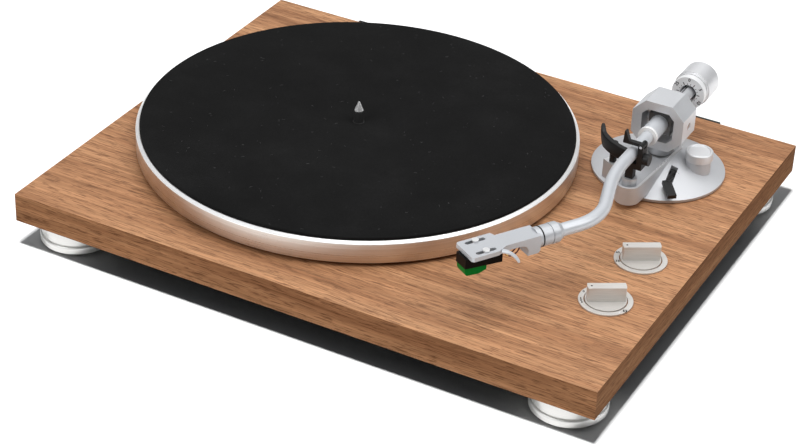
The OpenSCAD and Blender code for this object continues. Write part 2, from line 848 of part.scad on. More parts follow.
// Housing of the arm's upright bearing, pressed into the base from below
module arm_bearing_housing() {
    drop = yoke_shaft_drop + 2;
    color("#8d8f92") at_pivot() difference() {
        translate([0, 0, -drop]) cylinder(h = drop + floor_z, r = base_bore_r);
        translate([0, 0, -drop + 2]) cylinder(h = drop + floor_z, r = bearing_r + snug);
    }
}

module arm_bearings() {
    color("#c3c5c8") at_pivot() for (z = [-yoke_shaft_drop + 1, floor_z - bearing_h - 1])
        translate([0, 0, z]) difference() {
            cylinder(h = bearing_h, r = bearing_r);
            translate([0, 0, -over]) cylinder(h = bearing_h + 2 * over, r = yoke_shaft_r + arm_fit);
        }
}

// Gimbal yoke: deep octagonal ring on its upright shaft
module gimbal_yoke() {
    color("#c4c6c9") at_arm() difference() {
        union() {
            rotate([90, 0, 0]) linear_extrude(yoke_d, center = true) octagon(yoke_w, yoke_h, 9);
            translate([0, 0, floor_z + free_gap - arm_z])
                cylinder(h = arm_z - yoke_h / 2 - floor_z, r = post_r);
            translate([0, 0, -arm_z - yoke_shaft_drop + 0.5])
                cylinder(h = arm_z + yoke_shaft_drop - yoke_h / 2, r = yoke_shaft_r);
        }
        rotate([90, 0, 0]) linear_extrude(yoke_d + 2 * over, center = true)
            octagon(yoke_in_w, yoke_in_h, 4);
        rotate([0, 90, 0]) cylinder(h = yoke_w + 2 * over, r = pivot_screw_r + snug, center = true);
    }
}

// Two side screws whose cone points carry the arm
module pivot_screws() {
    tip = 1.4;
    length = yoke_w / 2 - 0.4 - hub_w / 2 - free_gap;
    color("#9ea1a4") at_arm() for (side = [0, 1])
        mirror([side, 0, 0]) translate([hub_w / 2 + free_gap, 0, 0]) rotate([0, 90, 0]) difference() {
            union() {
                cylinder(h = length, r = pivot_screw_r);
                translate([0, 0, -tip]) cylinder(h = tip, r1 = 0.3, r2 = tip);
            }
            translate([0, 0, length]) cube([2 * pivot_screw_r + over, 0.9, 2], center = true);
        }
}

// Hub with a front sleeve for the tube, and a cone cup for each pivot screw
module arm_hub() {
    cup = 1.8;
    color("#b9bcbf") at_arm() difference() {
        union() {
            cube([hub_w, hub_l, hub_w - 2], center = true);
            forward(0, sleeve_front - sleeve_ring_l / 2, sleeve_r);
            forward(sleeve_front - sleeve_ring_l, sleeve_front, sleeve_r + 0.5);
        }
        forward(hub_l / 2, sleeve_front + over, tube_r + snug);
        for (side = [0, 1])
            mirror([side, 0, 0]) translate([hub_w / 2 - cup, 0, 0]) rotate([0, 90, 0])
                cylinder(h = cup + 0.001, r1 = 0.2, r2 = cup);
    }
}

// Straight rod from a point, in a direction measured from -Y
module arm_rod(p, a, length, r) {
    translate(p) rotate(a) rotate([90, 0, 0]) cylinder(h = length, r = r);
}

// Bend about a point, from one direction on
module arm_bend(p, a, sweep, bend_r, r) {
    translate(p) rotate(a) rotate_extrude(angle = sweep, $fn = 180) translate([bend_r, 0]) circle(r);
}

// Rod along the arm's path: straight runs and bends, each joint closed by a thin ferrule
module arm_path(r, from, to) {
    joints = [
        [[0, -tube_run], 0], [bend1_end, bend1_a], [bend2_start, bend1_a], [bend2_end, -shell_a]
    ];
    past_bend1 = bend1_end + ferrule_gap * [sin(bend1_a), -cos(bend1_a)];
    arm_rod([0, -from], 0, tube_run - from - ferrule_gap, r);
    arm_bend([bend1_r, -tube_run], 180, bend1_a, bend1_r, r);
    arm_rod(past_bend1, bend1_a, bend_gap - 2 * ferrule_gap, r);
    arm_bend(bend2_mid, -shell_a, bend1_a + shell_a, bend2_r, r);
    arm_rod(bend2_end + ferrule_gap * shell_dir, -shell_a, to - ferrule_gap, r);
    for (j = joints)
        translate(j[0]) rotate(j[1]) rotate([90, 0, 0])
            cylinder(h = ferrule_l, r = r + ferrule_t, center = true);
}

// S-shaped tube from the hub to the middle of the collar
module arm_tube() {
    in_collar = tube_end + collar_l / 2;
    color("#cdd1d6") at_arm() difference() {
        arm_path(tube_r, hub_l / 2, in_collar);
        arm_path(tube_r - tube_wall, hub_l / 2 - over, in_collar + over);
    }
}

module rear_stub() {
    color("#c4c6c9") at_arm() difference() {
        forward(-stub_end, -hub_l / 2, stub_r);
        translate([0, dial_y - 9, stub_r]) cube([0.7, 14, 0.6], center = true);
    }
}

// Sleeve that travels along the stub and carries the counterweight
module weight_sleeve() {
    y0 = dial_y + dial_t + 2;
    color("#2a2b2d") at_arm() difference() {
        forward(-y0 - weight_l + 6, -y0, hole_r - 0.6);
        forward(-y0 - weight_l, -y0 + over, stub_r + arm_fit);
    }
}

module counterweight() {
    y0 = dial_y + dial_t;
    color("#c9cbcd") at_arm() difference() {
        union() {
            forward(-y0 - weight_l, -y0 - 2.2, weight_r);
            forward(-y0 - 2.3, -y0 - free_gap, weight_r - 0.7);
            forward(-y0 - 1, -dial_y - 1.5, dial_seat_r);
        }
        forward(-y0 - weight_l + 3, -dial_y, hole_r - 0.6 + arm_fit);
    }
}

module force_dial() {
    color("#d8dadb") at_arm() difference() {
        forward(-dial_y - dial_t, -dial_y, dial_r);
        forward(-dial_y - dial_t - over, -dial_y + over, hole_r);
        forward(-dial_y - dial_t - over, -dial_y - 1.2, dial_seat_r + arm_fit);
    }
}

// Stepped collar that locks the headshell on the tube
module locking_collar() {
    collar_cone_l = 3;
    collar_ring_l = 5;
    color("#c9ccd0") at_shell() difference() {
        union() {
            rotate([90, 0, 0]) cylinder(h = collar_cone_l, r1 = tube_r + 0.9, r2 = collar_r - 0.4);
            forward(collar_cone_l, collar_cone_l + collar_ring_l, collar_r);
            forward(collar_cone_l, collar_l, collar_r - 0.6);
            forward(collar_cone_l + collar_ring_l + 0.4, collar_l, collar_r - 0.2);
        }
        forward(-over, collar_l + over, tube_r + arm_fit);
    }
}

module shell_washer() {
    color("#101010") at_shell() difference() {
        forward(collar_l + 0.1, collar_l + washer_t, collar_r);
        forward(collar_l - over, collar_l + washer_t + over, plug_r + snug);
    }
}

// Headshell: plug in the collar, arched neck, slotted front plate
module headshell() {
    skirt_l = 8.5;
    skirt_z = -7;
    side_h = 4;
    arch_r = 6;
    arch_s = neck_s + skirt_l + arch_r;
    side_z = shell_top - side_h;
    side_s = front_s + cart_front - cart_l - 1;
    corner = 1.2;
    slot_r = 1.4;
    color("#d0d4d9") at_shell() difference() {
        union() {
            forward(collar_l / 2 - 4, neck_s + 2, plug_r);
            forward(collar_l + washer_t + snug, neck_s + 1, collar_r - flange_in);
            translate([-neck_w / 2, 0, 0]) rotate([90, 0, 90]) linear_extrude(neck_w) polygon([
                [-neck_s, shell_top], [-neck_s, skirt_z + 1.5], [-neck_s - 1.5, skirt_z], [-arch_s, skirt_z],
                [-arch_s, side_z], [-side_s, side_z], [-side_s, plate_under], [-plate_s - 3, plate_under],
                [-plate_s - 3, shell_top]
            ]);
            translate([0, 0, plate_under]) linear_extrude(shell_t) polygon([
                [-neck_w / 2, -plate_s], [neck_w / 2, -plate_s], [shell_w / 2, -plate_s - shoulder_right],
                [shell_w / 2, -front_s + corner], [shell_w / 2 - corner, -front_s],
                [-shell_w / 2 + corner, -front_s], [-shell_w / 2, -front_s + corner],
                [-shell_w / 2, -plate_s - shoulder_left]
            ]);
        }
        translate([0, -arch_s, side_z - arch_r]) rotate([0, 90, 0])
            cylinder(h = neck_w + 2 * over, r = arch_r, center = true);
        for (sx = [-1, 1])
            translate([sx * screw_pitch / 2, -screw_s, plate_under - over])
                linear_extrude(shell_t + 2 * over)
                    two_rounds([0, -slot_reach], slot_r, [0, slot_reach], slot_r);
    }
}

// Finger lift: a curved rod that springs from a tab on the plate's right shoulder
module finger_lift() {
    curl = 11;
    sweep = 67;
    rod_a = 50;
    rod_r = 1.1;
    flare = (shell_w - neck_w) / 2;
    tab_a = atan(flare / shoulder_right);
    share = 0.67;
    root = [neck_w / 2 + share * flare, -plate_s - share * shoulder_right, plate_under + shell_t / 2];
    color("#d4d8dc") at_shell() translate(root) union() {
        rotate(tab_a) translate([snug, -2.2, -1.2]) cube([2.4, 4.4, 2.4]);
        rotate(rod_a) translate([1, 0, -curl]) rotate([90, 0, 0]) rotate(90 - sweep)
            rotate_extrude(angle = sweep, $fn = 180) translate([curl, 0]) circle(rod_r);
    }
}

// Plan of the cartridge, which narrows to its front end
module cartridge_plan(inset) {
    front = -front_s - cart_front;
    nose = cart_nose_w / 2 - inset;
    tail = cart_rear_w / 2 - inset;
    polygon([[-nose, front], [nose, front], [tail, front + cart_l], [-tail, front + cart_l]]);
}

module cartridge_body() {
    rear = -front_s - cart_front + cart_l;
    color("#161617") at_shell() difference() {
        union() {
            translate([0, 0, body_under]) linear_extrude(cart_h) cartridge_plan(0);
            translate([-cart_w / 2, -screw_s - ear_s, plate_under - ear_h])
                cube([cart_w, 2 * ear_s, ear_h]);
        }
        for (sx = [-1, 1])
            translate([sx * screw_pitch / 2, -screw_s, plate_under - cart_screw_in - 0.5])
                cylinder(h = cart_screw_in + 0.5 + over, r = cart_screw_r + pilot);
    }
    color("#d8b04a") at_shell() for (x = wire_xs)
        translate([x, rear, plate_under - wire_drop]) forward(-wire_pin_l, 0.2, wire_pin_r);
}

// Stylus holder: clips under the cartridge's front and follows its taper
module stylus_holder() {
    lead = -0.8;
    color("#12893a") at_shell() intersection() {
        translate([0, -front_s - cart_front + 1, body_under]) rotate([90, 0, 90])
            linear_extrude(cart_w, center = true) polygon([
                [lead, 0], [lead + 0.2, -holder_h + 2.5], [lead + 1.4, -holder_h],
                [holder_l - 5, -holder_h], [holder_l, -holder_h + 2.2], [holder_l, 0]
            ]);
        translate([0, 0, holder_under - over]) linear_extrude(holder_h + 2 * over) cartridge_plan(0.5);
    }
}

// Cantilever with the stylus tip
module cantilever() {
    rod_r = 0.4;
    root = [0, -stylus_s + 5, holder_under - rod_r - snug];
    tip = [0, -stylus_s, holder_under - stylus_drop + 1];
    color("#c9cbcd") at_shell() union() {
        bar(root, tip, rod_r);
        translate([0, -stylus_s, holder_under - stylus_drop]) cylinder(h = 1.2, r1 = 0.1, r2 = 0.4);
    }
}

module cartridge_screws() {
    color("#e2e3e4") at_shell() for (sx = [-1, 1])
        translate([sx * screw_pitch / 2, -screw_s, shell_top])
            screw([cart_screw_r, 2.3, 1.3], shell_t + cart_screw_in);
}

// Four lead wires that sag from the neck to the ends of the cartridge's pins
module lead_wires() {
    wire_r = 0.45;
    loop_r = 5.4;
    pin_end = -front_s - cart_front + cart_l + wire_pin_l;
    color("#b03a2e") at_shell() for (x = wire_xs)
        translate([x, pin_end + pilot + wire_r + loop_r, plate_under - wire_drop + wire_pin_r])
            rotate([90, 0, 90]) rotate(180)
                rotate_extrude(angle = 180, $fn = 96) translate([loop_r, 0]) circle(wire_r, $fn = 24);
}

// Dished knob on its pin
module anti_skate_knob() {
    z0 = skate_boss_z + free_gap;
    color("#d3d4d5") at_pivot() translate([skate_at.x, skate_at.y, 0]) difference() {
        union() {
            translate([0, 0, z0]) rotate_extrude() polygon([
                [0, 0], [skate_r - 0.4, 0], [skate_r, 0.4], [skate_r, skate_h - 0.7],
                [skate_r - 0.7, skate_h], [skate_r - 1.6, skate_h], [skate_r - 2.2, skate_h - 0.8],
                [0, skate_h - 0.8]
            ]);
            translate([0, 0, 4]) cylinder(h = z0, r = skate_pin_r);
        }
    }
}

// Arm rest: stem on the tray's boss, saddle under the tube, outer post with two hinge ears and a clamp screw
module arm_rest() {
    saddle_z = arm_z - tube_r - rest_gap;
    saddle_t = 4;
    post_top = arm_z + lock_axis.y - knuckle_r - free_gap;
    clamp_r = 4;
    clamp_l = 4;
    x0 = -tube_r - 1.4;
    x1 = rest_post_x + rest_post_t;
    color("#18181a") at_pivot() translate([0, -rest_y, 0]) difference() {
        union() {
            translate([-rest_stem / 2, -rest_stem / 2, rest_boss_z])
                cube([rest_stem, rest_stem, saddle_z - saddle_t - rest_boss_z + 1]);
            translate([x0, -rest_d / 2, saddle_z - saddle_t]) cube([x1 - x0, rest_d, saddle_t]);
            translate([rest_post_x, -rest_d / 2, saddle_z - saddle_t])
                cube([rest_post_t, rest_d, post_top - saddle_z + saddle_t]);
            translate([x1 - over, 0, arm_z - 2]) rotate([0, 90, 0])
                cylinder(h = clamp_l + over, r = clamp_r);
            for (y = [-rest_d / 2, rest_d / 2 - ear_t]) {
                translate([rest_post_x, y, arm_z]) cube([rest_post_t, ear_t, lock_axis.y]);
                translate([lock_axis.x, y, arm_z + lock_axis.y]) rotate([-90, 0, 0])
                    cylinder(h = ear_t, r = knuckle_r);
            }
        }
        translate([lock_axis.x, 0, arm_z + lock_axis.y]) rotate([90, 0, 0])
            cylinder(h = rest_d + 2 * over, r = lock_pin_r + snug, center = true);
    }
}

// Hinged lock: knuckle on the pin, strap over the tube, finger spike at its free end
module arm_lock() {
    x0 = -tube_r - 2.4;
    color("#1c1c1f") at_arm() translate([0, -rest_y, 0]) difference() {
        union() {
            translate([x0, -knuckle_l / 2, strap_z]) cube([lock_axis.x - x0, knuckle_l, strap_t]);
            translate([lock_axis.x, 0, lock_axis.y]) rotate([90, 0, 0])
                cylinder(h = knuckle_l, r = knuckle_r, center = true);
            translate([x0, knuckle_l / 2, strap_z]) rotate([90, 0, 0]) linear_extrude(knuckle_l)
                polygon([[0, 0], [4.6, 0], [4.2, strap_t], [1.6, spike_h], [0.6, spike_h]]);
        }
        translate([lock_axis.x, 0, lock_axis.y]) rotate([90, 0, 0])
            cylinder(h = rest_d, r = lock_pin_r + arm_fit, center = true);
    }
}

module lock_pin() {
    color("#8d8f92") at_arm() translate([lock_axis.x, -rest_y, lock_axis.y]) rotate([90, 0, 0])
        cylinder(h = rest_d, r = lock_pin_r, center = true);
}

// Cue lever: axle and hub in the base, stem over the cone, paddle for a finger
module cue_lever() {
    turn = atan2(paddle_end.x - stem_end.x, -(paddle_end.y - stem_end.y));
    dip = atan2(paddle_end.z - stem_end.z, norm([paddle_end.x - stem_end.x, paddle_end.y - stem_end.y]));
    reach = norm(paddle_end - stem_end);
    color("#171718") at_pivot() translate(lever_at) union() {
        rotate([0, 90, 0]) cylinder(h = axle_l, r = axle_r, center = true);
        rotate([0, 90, 0]) cylinder(h = lever_hub_l, r = lever_hub_r, center = true);
        bar([0, 0, 0], stem_end, stem_r);
        translate(stem_end) rotate(turn) rotate([-dip, 0, 0]) translate([-3, -reach, -1.4])
            cube([6, reach + 1.5, 2.8]);
    }
}

// Wedge about the pivot that trims the lifter's bar between two angles and two heights about its top
module lifter_wedge(from, to, low, high) {
    reach = 2 * lifter_r;
    translate([0, 0, lifter_top + low]) rotate(lifter_from) linear_extrude(high - low)
        polygon([[0, 0], reach * [cos(from), sin(from)], reach * [cos(to), sin(to)]]);
}

// Curved lifter on its piston, with a stepped horn at its far end that keeps the arm on it
module arm_lifter() {
    span = lifter_to - lifter_from;
    horn_h = horn_steps[0];
    color("#171718") at_pivot() {
        difference() {
            translate([0, 0, lifter_top - lifter_t]) rotate(lifter_from)
                rotate_extrude(angle = span, $fn = 180)
                    translate([lifter_r - lifter_w / 2, 0]) square([lifter_w, lifter_t + horn_h]);
            for (i = [1:3])
                lifter_wedge(horn_step_a * i, span + i, horn_steps[i], horn_h + i);
            lifter_wedge(horn_step_a * 4, span + 4, 0, horn_h + 4);
            for (i = [0:3])
                lifter_wedge(-1 - i, keel_step_a * (i + 1), -lifter_t - 1 - i, -keel_steps[i]);
        }
        translate([piston_at.x, piston_at.y, nose_z + 3])
            cylinder(h = lifter_top - nose_z - 4, r = piston_r);
    }
}

// Control knob: disc, bar handle across it and a shaft into the switch
module control_knob(p) {
    disc_z = top_z + knob_lift;
    color("#cfcfca") translate([p.x, p.y, 0]) difference() {
        union() {
            translate([0, 0, disc_z]) cylinder(h = knob_disc_t, r = knob_r);
            intersection() {
                translate([0, 0, disc_z]) rotate(bar_a)
                    translate([-knob_r, -bar_t / 2, 0]) cube([2 * knob_r, bar_t, knob_disc_t + bar_h]);
                translate([0, 0, disc_z]) cylinder(h = knob_disc_t + bar_h, r = knob_r - 0.8);
            }
            translate([0, 0, roof_z - switch_h + 1])
                cylinder(h = disc_z - roof_z + switch_h, r = knob_shaft_r);
        }
        translate([0, 0, disc_z + knob_disc_t + bar_h]) rotate(bar_a) translate([-knob_r + 3.6, 0, 0])
            cylinder(h = 1, r = 0.6, center = true);
    }
}

module start_knob() {
    control_knob(knob_places[0]);
}

module speed_knob() {
    control_knob(knob_places[1]);
}

// Printed rings that lie flat on the plinth round the knobs
module knob_bezels() {
    color("#d6d6d4") for (p = knob_places)
        translate([p.x, p.y, top_z]) difference() {
            cylinder(h = bezel_t, r = bezel_r);
            translate([0, 0, -over]) cylinder(h = bezel_t + 2 * over, r = knob_r + knob_gap);
        }
}

// Rotary switches under the plinth's skin, one for each knob
module rotary_switches() {
    color("#3d4f63") for (p = knob_places)
        translate([p.x, p.y, roof_z - switch_h]) difference() {
            translate([-switch_w / 2, -switch_w / 2, 0]) cube([switch_w, switch_w, switch_h]);
            translate([0, 0, 1 - arm_fit]) cylinder(h = switch_h, r = knob_shaft_r + arm_fit);
        }
}

// Board on the cover's pegs
module circuit_board() {
    color("#1f5d3a") difference() {
        translate([panel_x - board_w / 2, board_y - board_d / 2, board_z])
            cube([board_w, board_d, board_t]);
        for (p = board_posts)
            translate([p.x, p.y, board_z - over]) cylinder(h = board_t + 2 * over, r = 1.5 + pilot);
    }
}

module wireless_module() {
    color("#b7babd") translate([panel_x + 14, board_y - 8, board_z + board_t]) cube([18, 13, 2.6]);
}

module rear_panel() {
    color("#232426") difference() {
        translate([panel_x - panel_w / 2, panel_y, under_z]) cube([panel_w, panel_t, window_h - snug]);
        for (x = jack_xs)
            translate([panel_x + x, panel_y, jack_axis_z])
                forward(-panel_t - over, over, jack_neck_r + snug);
        translate([panel_x + earth_x, panel_y, jack_axis_z]) forward(-panel_t - over, over, earth_r + snug);
        translate([panel_x + power_x, panel_y, jack_axis_z])
            forward(-panel_t - over, over, power_nose_r + snug);
        translate([panel_x - 34.5, panel_y - over, jack_axis_z - 2.5]) cube([9, panel_t + 2 * over, 5]);
    }
}

// Two phono jacks: outer shell against the panel, neck through it
module phono_jacks() {
    color("#c9a648") for (x = jack_xs)
        translate([panel_x + x, panel_y + panel_t, jack_axis_z]) difference() {
            union() {
                forward(-jack_l, 0, jack_r);
                forward(-over, panel_t + 5, jack_neck_r);
            }
            forward(-jack_l - over, -1, 2.4);
        }
}

module earth_terminal() {
    color("#c4c6c8") translate([panel_x + earth_x, panel_y + panel_t, jack_axis_z]) union() {
        forward(-8, panel_t + 3, earth_r);
        forward(-6.5, -1, 4.2);
    }
}

// Round power inlet: box on the board, nose through the panel, contact pin in its bore
module power_inlet() {
    color("#151516") translate([panel_x + power_x, panel_y, jack_axis_z]) union() {
        difference() {
            union() {
                translate([-4.8, -11, -inlet_h / 2]) cube([9.6, 11, inlet_h]);
                forward(-panel_t - 0.4, over, power_nose_r);
            }
            forward(-panel_t - over, power_bore_l, power_bore_r);
        }
        forward(-panel_t + 1, power_bore_l + 1, 1);
    }
}

// Slide switch that picks the output level
module output_switch() {
    color("#e3e3e0") translate([panel_x - 30, panel_y, jack_axis_z]) union() {
        translate([-4.2, -1.2, -2.2]) cube([4.2, panel_t + 3, 4.4]);
        translate([-4.2, -2.4, -3.4]) cube([4.2, 1.2 - free_gap + 0.4, 6.8]);
    }
}

// Sockets that take a dust cover's hinge tongues
module hinge_sockets() {
    z1 = top_z - 7;
    slot_w = 14;
    slot_t = 5;
    color("#1d1d1f") for (sx = [-1, 1])
        translate([sx * socket_x, back_y, z1 - socket_h]) difference() {
            translate([-socket_w / 2, 0, 0]) cube([socket_w, socket_reach, socket_h]);
            translate([-slot_w / 2, (socket_reach - slot_t) / 2, 2]) cube([slot_w, slot_t, socket_h]);
        }
}

plinth();
bottom_cover();
cover_screws();
foot_front_left();
foot_front_right();
foot_rear_left();
foot_rear_right();
foot_pads();
foot_bolts();
platter();
slip_mat();
spindle();
bearing_housing();
bearing_bush();
thrust_ball();
deck_screws();
drive_belt();
motor_pulley();
motor();
motor_plate();
motor_grommets();
arm_base();
arm_base_screws();
arm_bearing_housing();
arm_bearings();
gimbal_yoke();
pivot_screws();
arm_hub();
arm_tube();
rear_stub();
weight_sleeve();
counterweight();
force_dial();
locking_collar();
shell_washer();
headshell();
finger_lift();
cartridge_body();
stylus_holder();
cantilever();
cartridge_screws();
lead_wires();
anti_skate_knob();
arm_rest();
arm_lock();
lock_pin();
cue_lever();
arm_lifter();
start_knob();
speed_knob();
knob_bezels();
rotary_switches();
circuit_board();
wireless_module();
rear_panel();
phono_jacks();
earth_terminal();
power_inlet();
output_switch();
hinge_sockets();
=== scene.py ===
# %% [markdown]
# # A walnut turntable, from bare CAD solids to a studio picture
#
# The CAD part arrives as plain solids in metres: +X along the front edge, +Y to the rear, +Z up.
# This lesson gives every solid its finish. Sharp edges get a small round, turned metal gets its
# lathe marks, the plinth gets a veneer, and printed marks and lint are added where they repeat.
# Names in capitals are settings. Their lengths are in millimetres until the floor and the lamps, which
# are in metres; a name that ends in DEG is in degrees, and one that ends in PX is in pixels.

# %%
import json
import math

import bmesh
import bpy
from mathutils import Matrix, Vector


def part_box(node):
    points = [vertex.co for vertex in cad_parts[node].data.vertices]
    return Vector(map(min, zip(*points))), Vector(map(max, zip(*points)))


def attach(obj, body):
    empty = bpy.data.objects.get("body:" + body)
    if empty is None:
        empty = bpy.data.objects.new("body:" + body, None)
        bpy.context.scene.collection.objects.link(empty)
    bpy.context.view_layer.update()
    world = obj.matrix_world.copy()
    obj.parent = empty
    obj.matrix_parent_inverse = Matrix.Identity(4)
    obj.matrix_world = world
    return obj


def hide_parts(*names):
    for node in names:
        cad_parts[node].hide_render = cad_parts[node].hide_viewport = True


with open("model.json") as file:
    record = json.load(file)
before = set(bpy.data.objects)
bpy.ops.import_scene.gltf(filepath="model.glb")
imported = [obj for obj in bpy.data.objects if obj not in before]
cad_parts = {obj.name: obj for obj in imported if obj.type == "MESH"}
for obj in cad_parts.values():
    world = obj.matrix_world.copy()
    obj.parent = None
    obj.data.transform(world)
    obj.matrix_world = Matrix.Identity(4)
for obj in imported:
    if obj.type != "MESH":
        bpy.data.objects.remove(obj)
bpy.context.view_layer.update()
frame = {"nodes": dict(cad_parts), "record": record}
nodes = frame["nodes"]
MM = 0.001
body_of = {n: b for b, names in frame["record"]["behaviour"]["bodies"].items() for n in names}
slot_of = {s["node"]: s["material_slot"] for s in frame["record"]["subparts"]}


def centre(node):
    low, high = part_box(node)
    return (low + high) / 2


spindle = centre("spindle")
pivot = centre("arm_bearings")
deck_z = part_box("plinth")[1].z
arm_z = centre("arm_hub").z
print("frame:", len(nodes), "nodes, deck at", round(deck_z / MM, 1), "mm")

# %% [markdown]
# ## Camera
# The picture was matched to the plinth's corners and the mat's ellipse. That gives the distance,
# the three angles and the focal length; the point looked at sits near the middle of the plinth's top.

# %%
PHOTO_W_PX = 800
FOCAL_PX = 2243.56
SENSOR_W = 36
azimuth, elevation, roll = (math.radians(a) for a in (27.03, 32.07, 2.63))
shift_right, shift_down, distance = 11.93 * MM, -36.94 * MM, 1523.13 * MM

back = Vector((
    math.sin(azimuth) * math.cos(elevation),
    -math.cos(azimuth) * math.cos(elevation),
    math.sin(elevation),
))
level_right = Vector((0, 0, 1)).cross(back).normalized()
level_up = back.cross(level_right)
right = math.cos(roll) * level_right + math.sin(roll) * level_up
up = -math.sin(roll) * level_right + math.cos(roll) * level_up
deck_centre = Vector((centre("plinth").x, centre("plinth").y, deck_z))
eye = deck_centre - shift_right * right + shift_down * up + distance * back

camera_data = bpy.data.cameras.new("camera")
camera_data.sensor_width = SENSOR_W
camera_data.lens = SENSOR_W * FOCAL_PX / PHOTO_W_PX
camera = bpy.data.objects.new("camera", camera_data)
camera.matrix_world = Matrix((
    (right.x, up.x, back.x, eye.x),
    (right.y, up.y, back.y, eye.y),
    (right.z, up.z, back.z, eye.z),
    (0, 0, 0, 1),
))
bpy.context.collection.objects.link(camera)
bpy.context.scene.camera = camera
print("camera:", round(camera_data.lens, 1), "mm lens")

# %% [markdown]
# ## Small tools for node trees
# `shader` starts a material, and `add` makes a node with its sockets filled or wired in one line. The
# others are short names for the nodes that come up again and again.

# %%


def shader(name):
    material = bpy.data.materials.new(name)
    material.use_nodes = True
    return material, material.node_tree, material.node_tree.nodes["Principled BSDF"]


def add(tree, kind, sockets=None, **settings):
    made = tree.nodes.new(kind)
    for key, value in settings.items():
        setattr(made, key, value)
    for key, value in (sockets or {}).items():
        if isinstance(value, bpy.types.NodeSocket):
            tree.links.new(value, made.inputs[key])
        else:
            made.inputs[key].default_value = value
    return made


def math_node(tree, operation, a, b=0.0):
    return add(tree, "ShaderNodeMath", {0: a, 1: b}, operation=operation).outputs[0]


def multiply_add(tree, value, factor, offset):
    sockets = {0: value, 1: factor, 2: offset}
    return add(tree, "ShaderNodeMath", sockets, operation="MULTIPLY_ADD").outputs[0]


def weigh(tree, a, b, share):
    """The first value by its share, plus the second by the rest."""
    return math_node(tree, "ADD", math_node(tree, "MULTIPLY", a, share),
                     math_node(tree, "MULTIPLY", b, 1 - share))


def vector_node(tree, operation, a, b=None, out="Vector"):
    sockets = {0: a} if b is None else {0: a, 1: b}
    return add(tree, "ShaderNodeVectorMath", sockets, operation=operation).outputs[out]


def split(tree, vector):
    return add(tree, "ShaderNodeSeparateXYZ", {0: vector}).outputs


def combine(tree, x, y, z=0.0):
    return add(tree, "ShaderNodeCombineXYZ", {0: x, 1: y, 2: z}).outputs[0]


def grey(value):
    return (value, value, value)


def ramp(tree, value, *stops):
    made = add(tree, "ShaderNodeValToRGB", {0: value})
    line = made.color_ramp.elements
    while len(line) < len(stops):
        line.new(0.5)
    for element, (place, colour) in zip(line, stops):
        element.position = place
        element.color = (*colour, 1)
    return made.outputs[0]


def mix_colour(tree, amount, a, b, blend="MIX"):
    made = add(tree, "ShaderNodeMix", {0: amount, 6: a, 7: b}, data_type="RGBA", blend_type=blend)
    return made.outputs[2]


def object_coords(tree):
    coords = add(tree, "ShaderNodeTexCoord")
    return coords.outputs["Object"], coords.outputs["Normal"]


def noise(tree, vector, scale, detail=3.0, rough=0.55):
    sockets = {"Vector": vector, "Scale": scale, "Detail": detail, "Roughness": rough}
    return add(tree, "ShaderNodeTexNoise", sockets).outputs[0]


def bump(tree, surface, height, strength, depth):
    made = add(tree, "ShaderNodeBump", {"Height": height, "Strength": strength, "Distance": depth * MM})
    tree.links.new(made.outputs[0], surface.inputs["Normal"])


print("node tools ready")

# %% [markdown]
# ## Veneer
# Walnut veneer is long fibre. Three noises, each drawn out along the grain, make the broad figure,
# the fine fibre and the short dark pores. The grain runs along X on the top and the front, and along
# Y on the two ends, so the surface's own direction picks which coordinate is "along". The front and
# the two ends are then darkened by the way they face alone: painted shade.

# %%
FIGURE_TONES = (
    (0.30, (0.290, 0.130, 0.060)),
    (0.44, (0.420, 0.203, 0.098)),
    (0.55, (0.530, 0.270, 0.134)),
    (0.72, (0.620, 0.335, 0.172)),
)
PORE_BROWN = (0.130, 0.054, 0.026, 1)
# The next two colours darken the front and the two ends by the way they face: painted shade.
FRONT_PAINTED_SHADE = (0.58, 0.55, 0.54, 1)
END_PAINTED_SHADE = (0.075, 0.036, 0.022, 1)
PORE_HEIGHT = (0.2, 0.2, 0.2, 1)


def faces_along(tree, part):
    """1 where this part of the normal is large, else 0."""
    return math_node(tree, "GREATER_THAN", math_node(tree, "ABSOLUTE", part), 0.7)


def pick(tree, which, a, b):
    return add(tree, "ShaderNodeMix", {0: which, 2: a, 3: b}).outputs[0]


def grain_noise(tree, grain, along, across, detail, rough=0.55):
    """Noise with its repeats in a metre along the grain and across it."""
    return noise(tree, vector_node(tree, "MULTIPLY", grain, (along, across, 1.0)), 1.0, detail, rough)


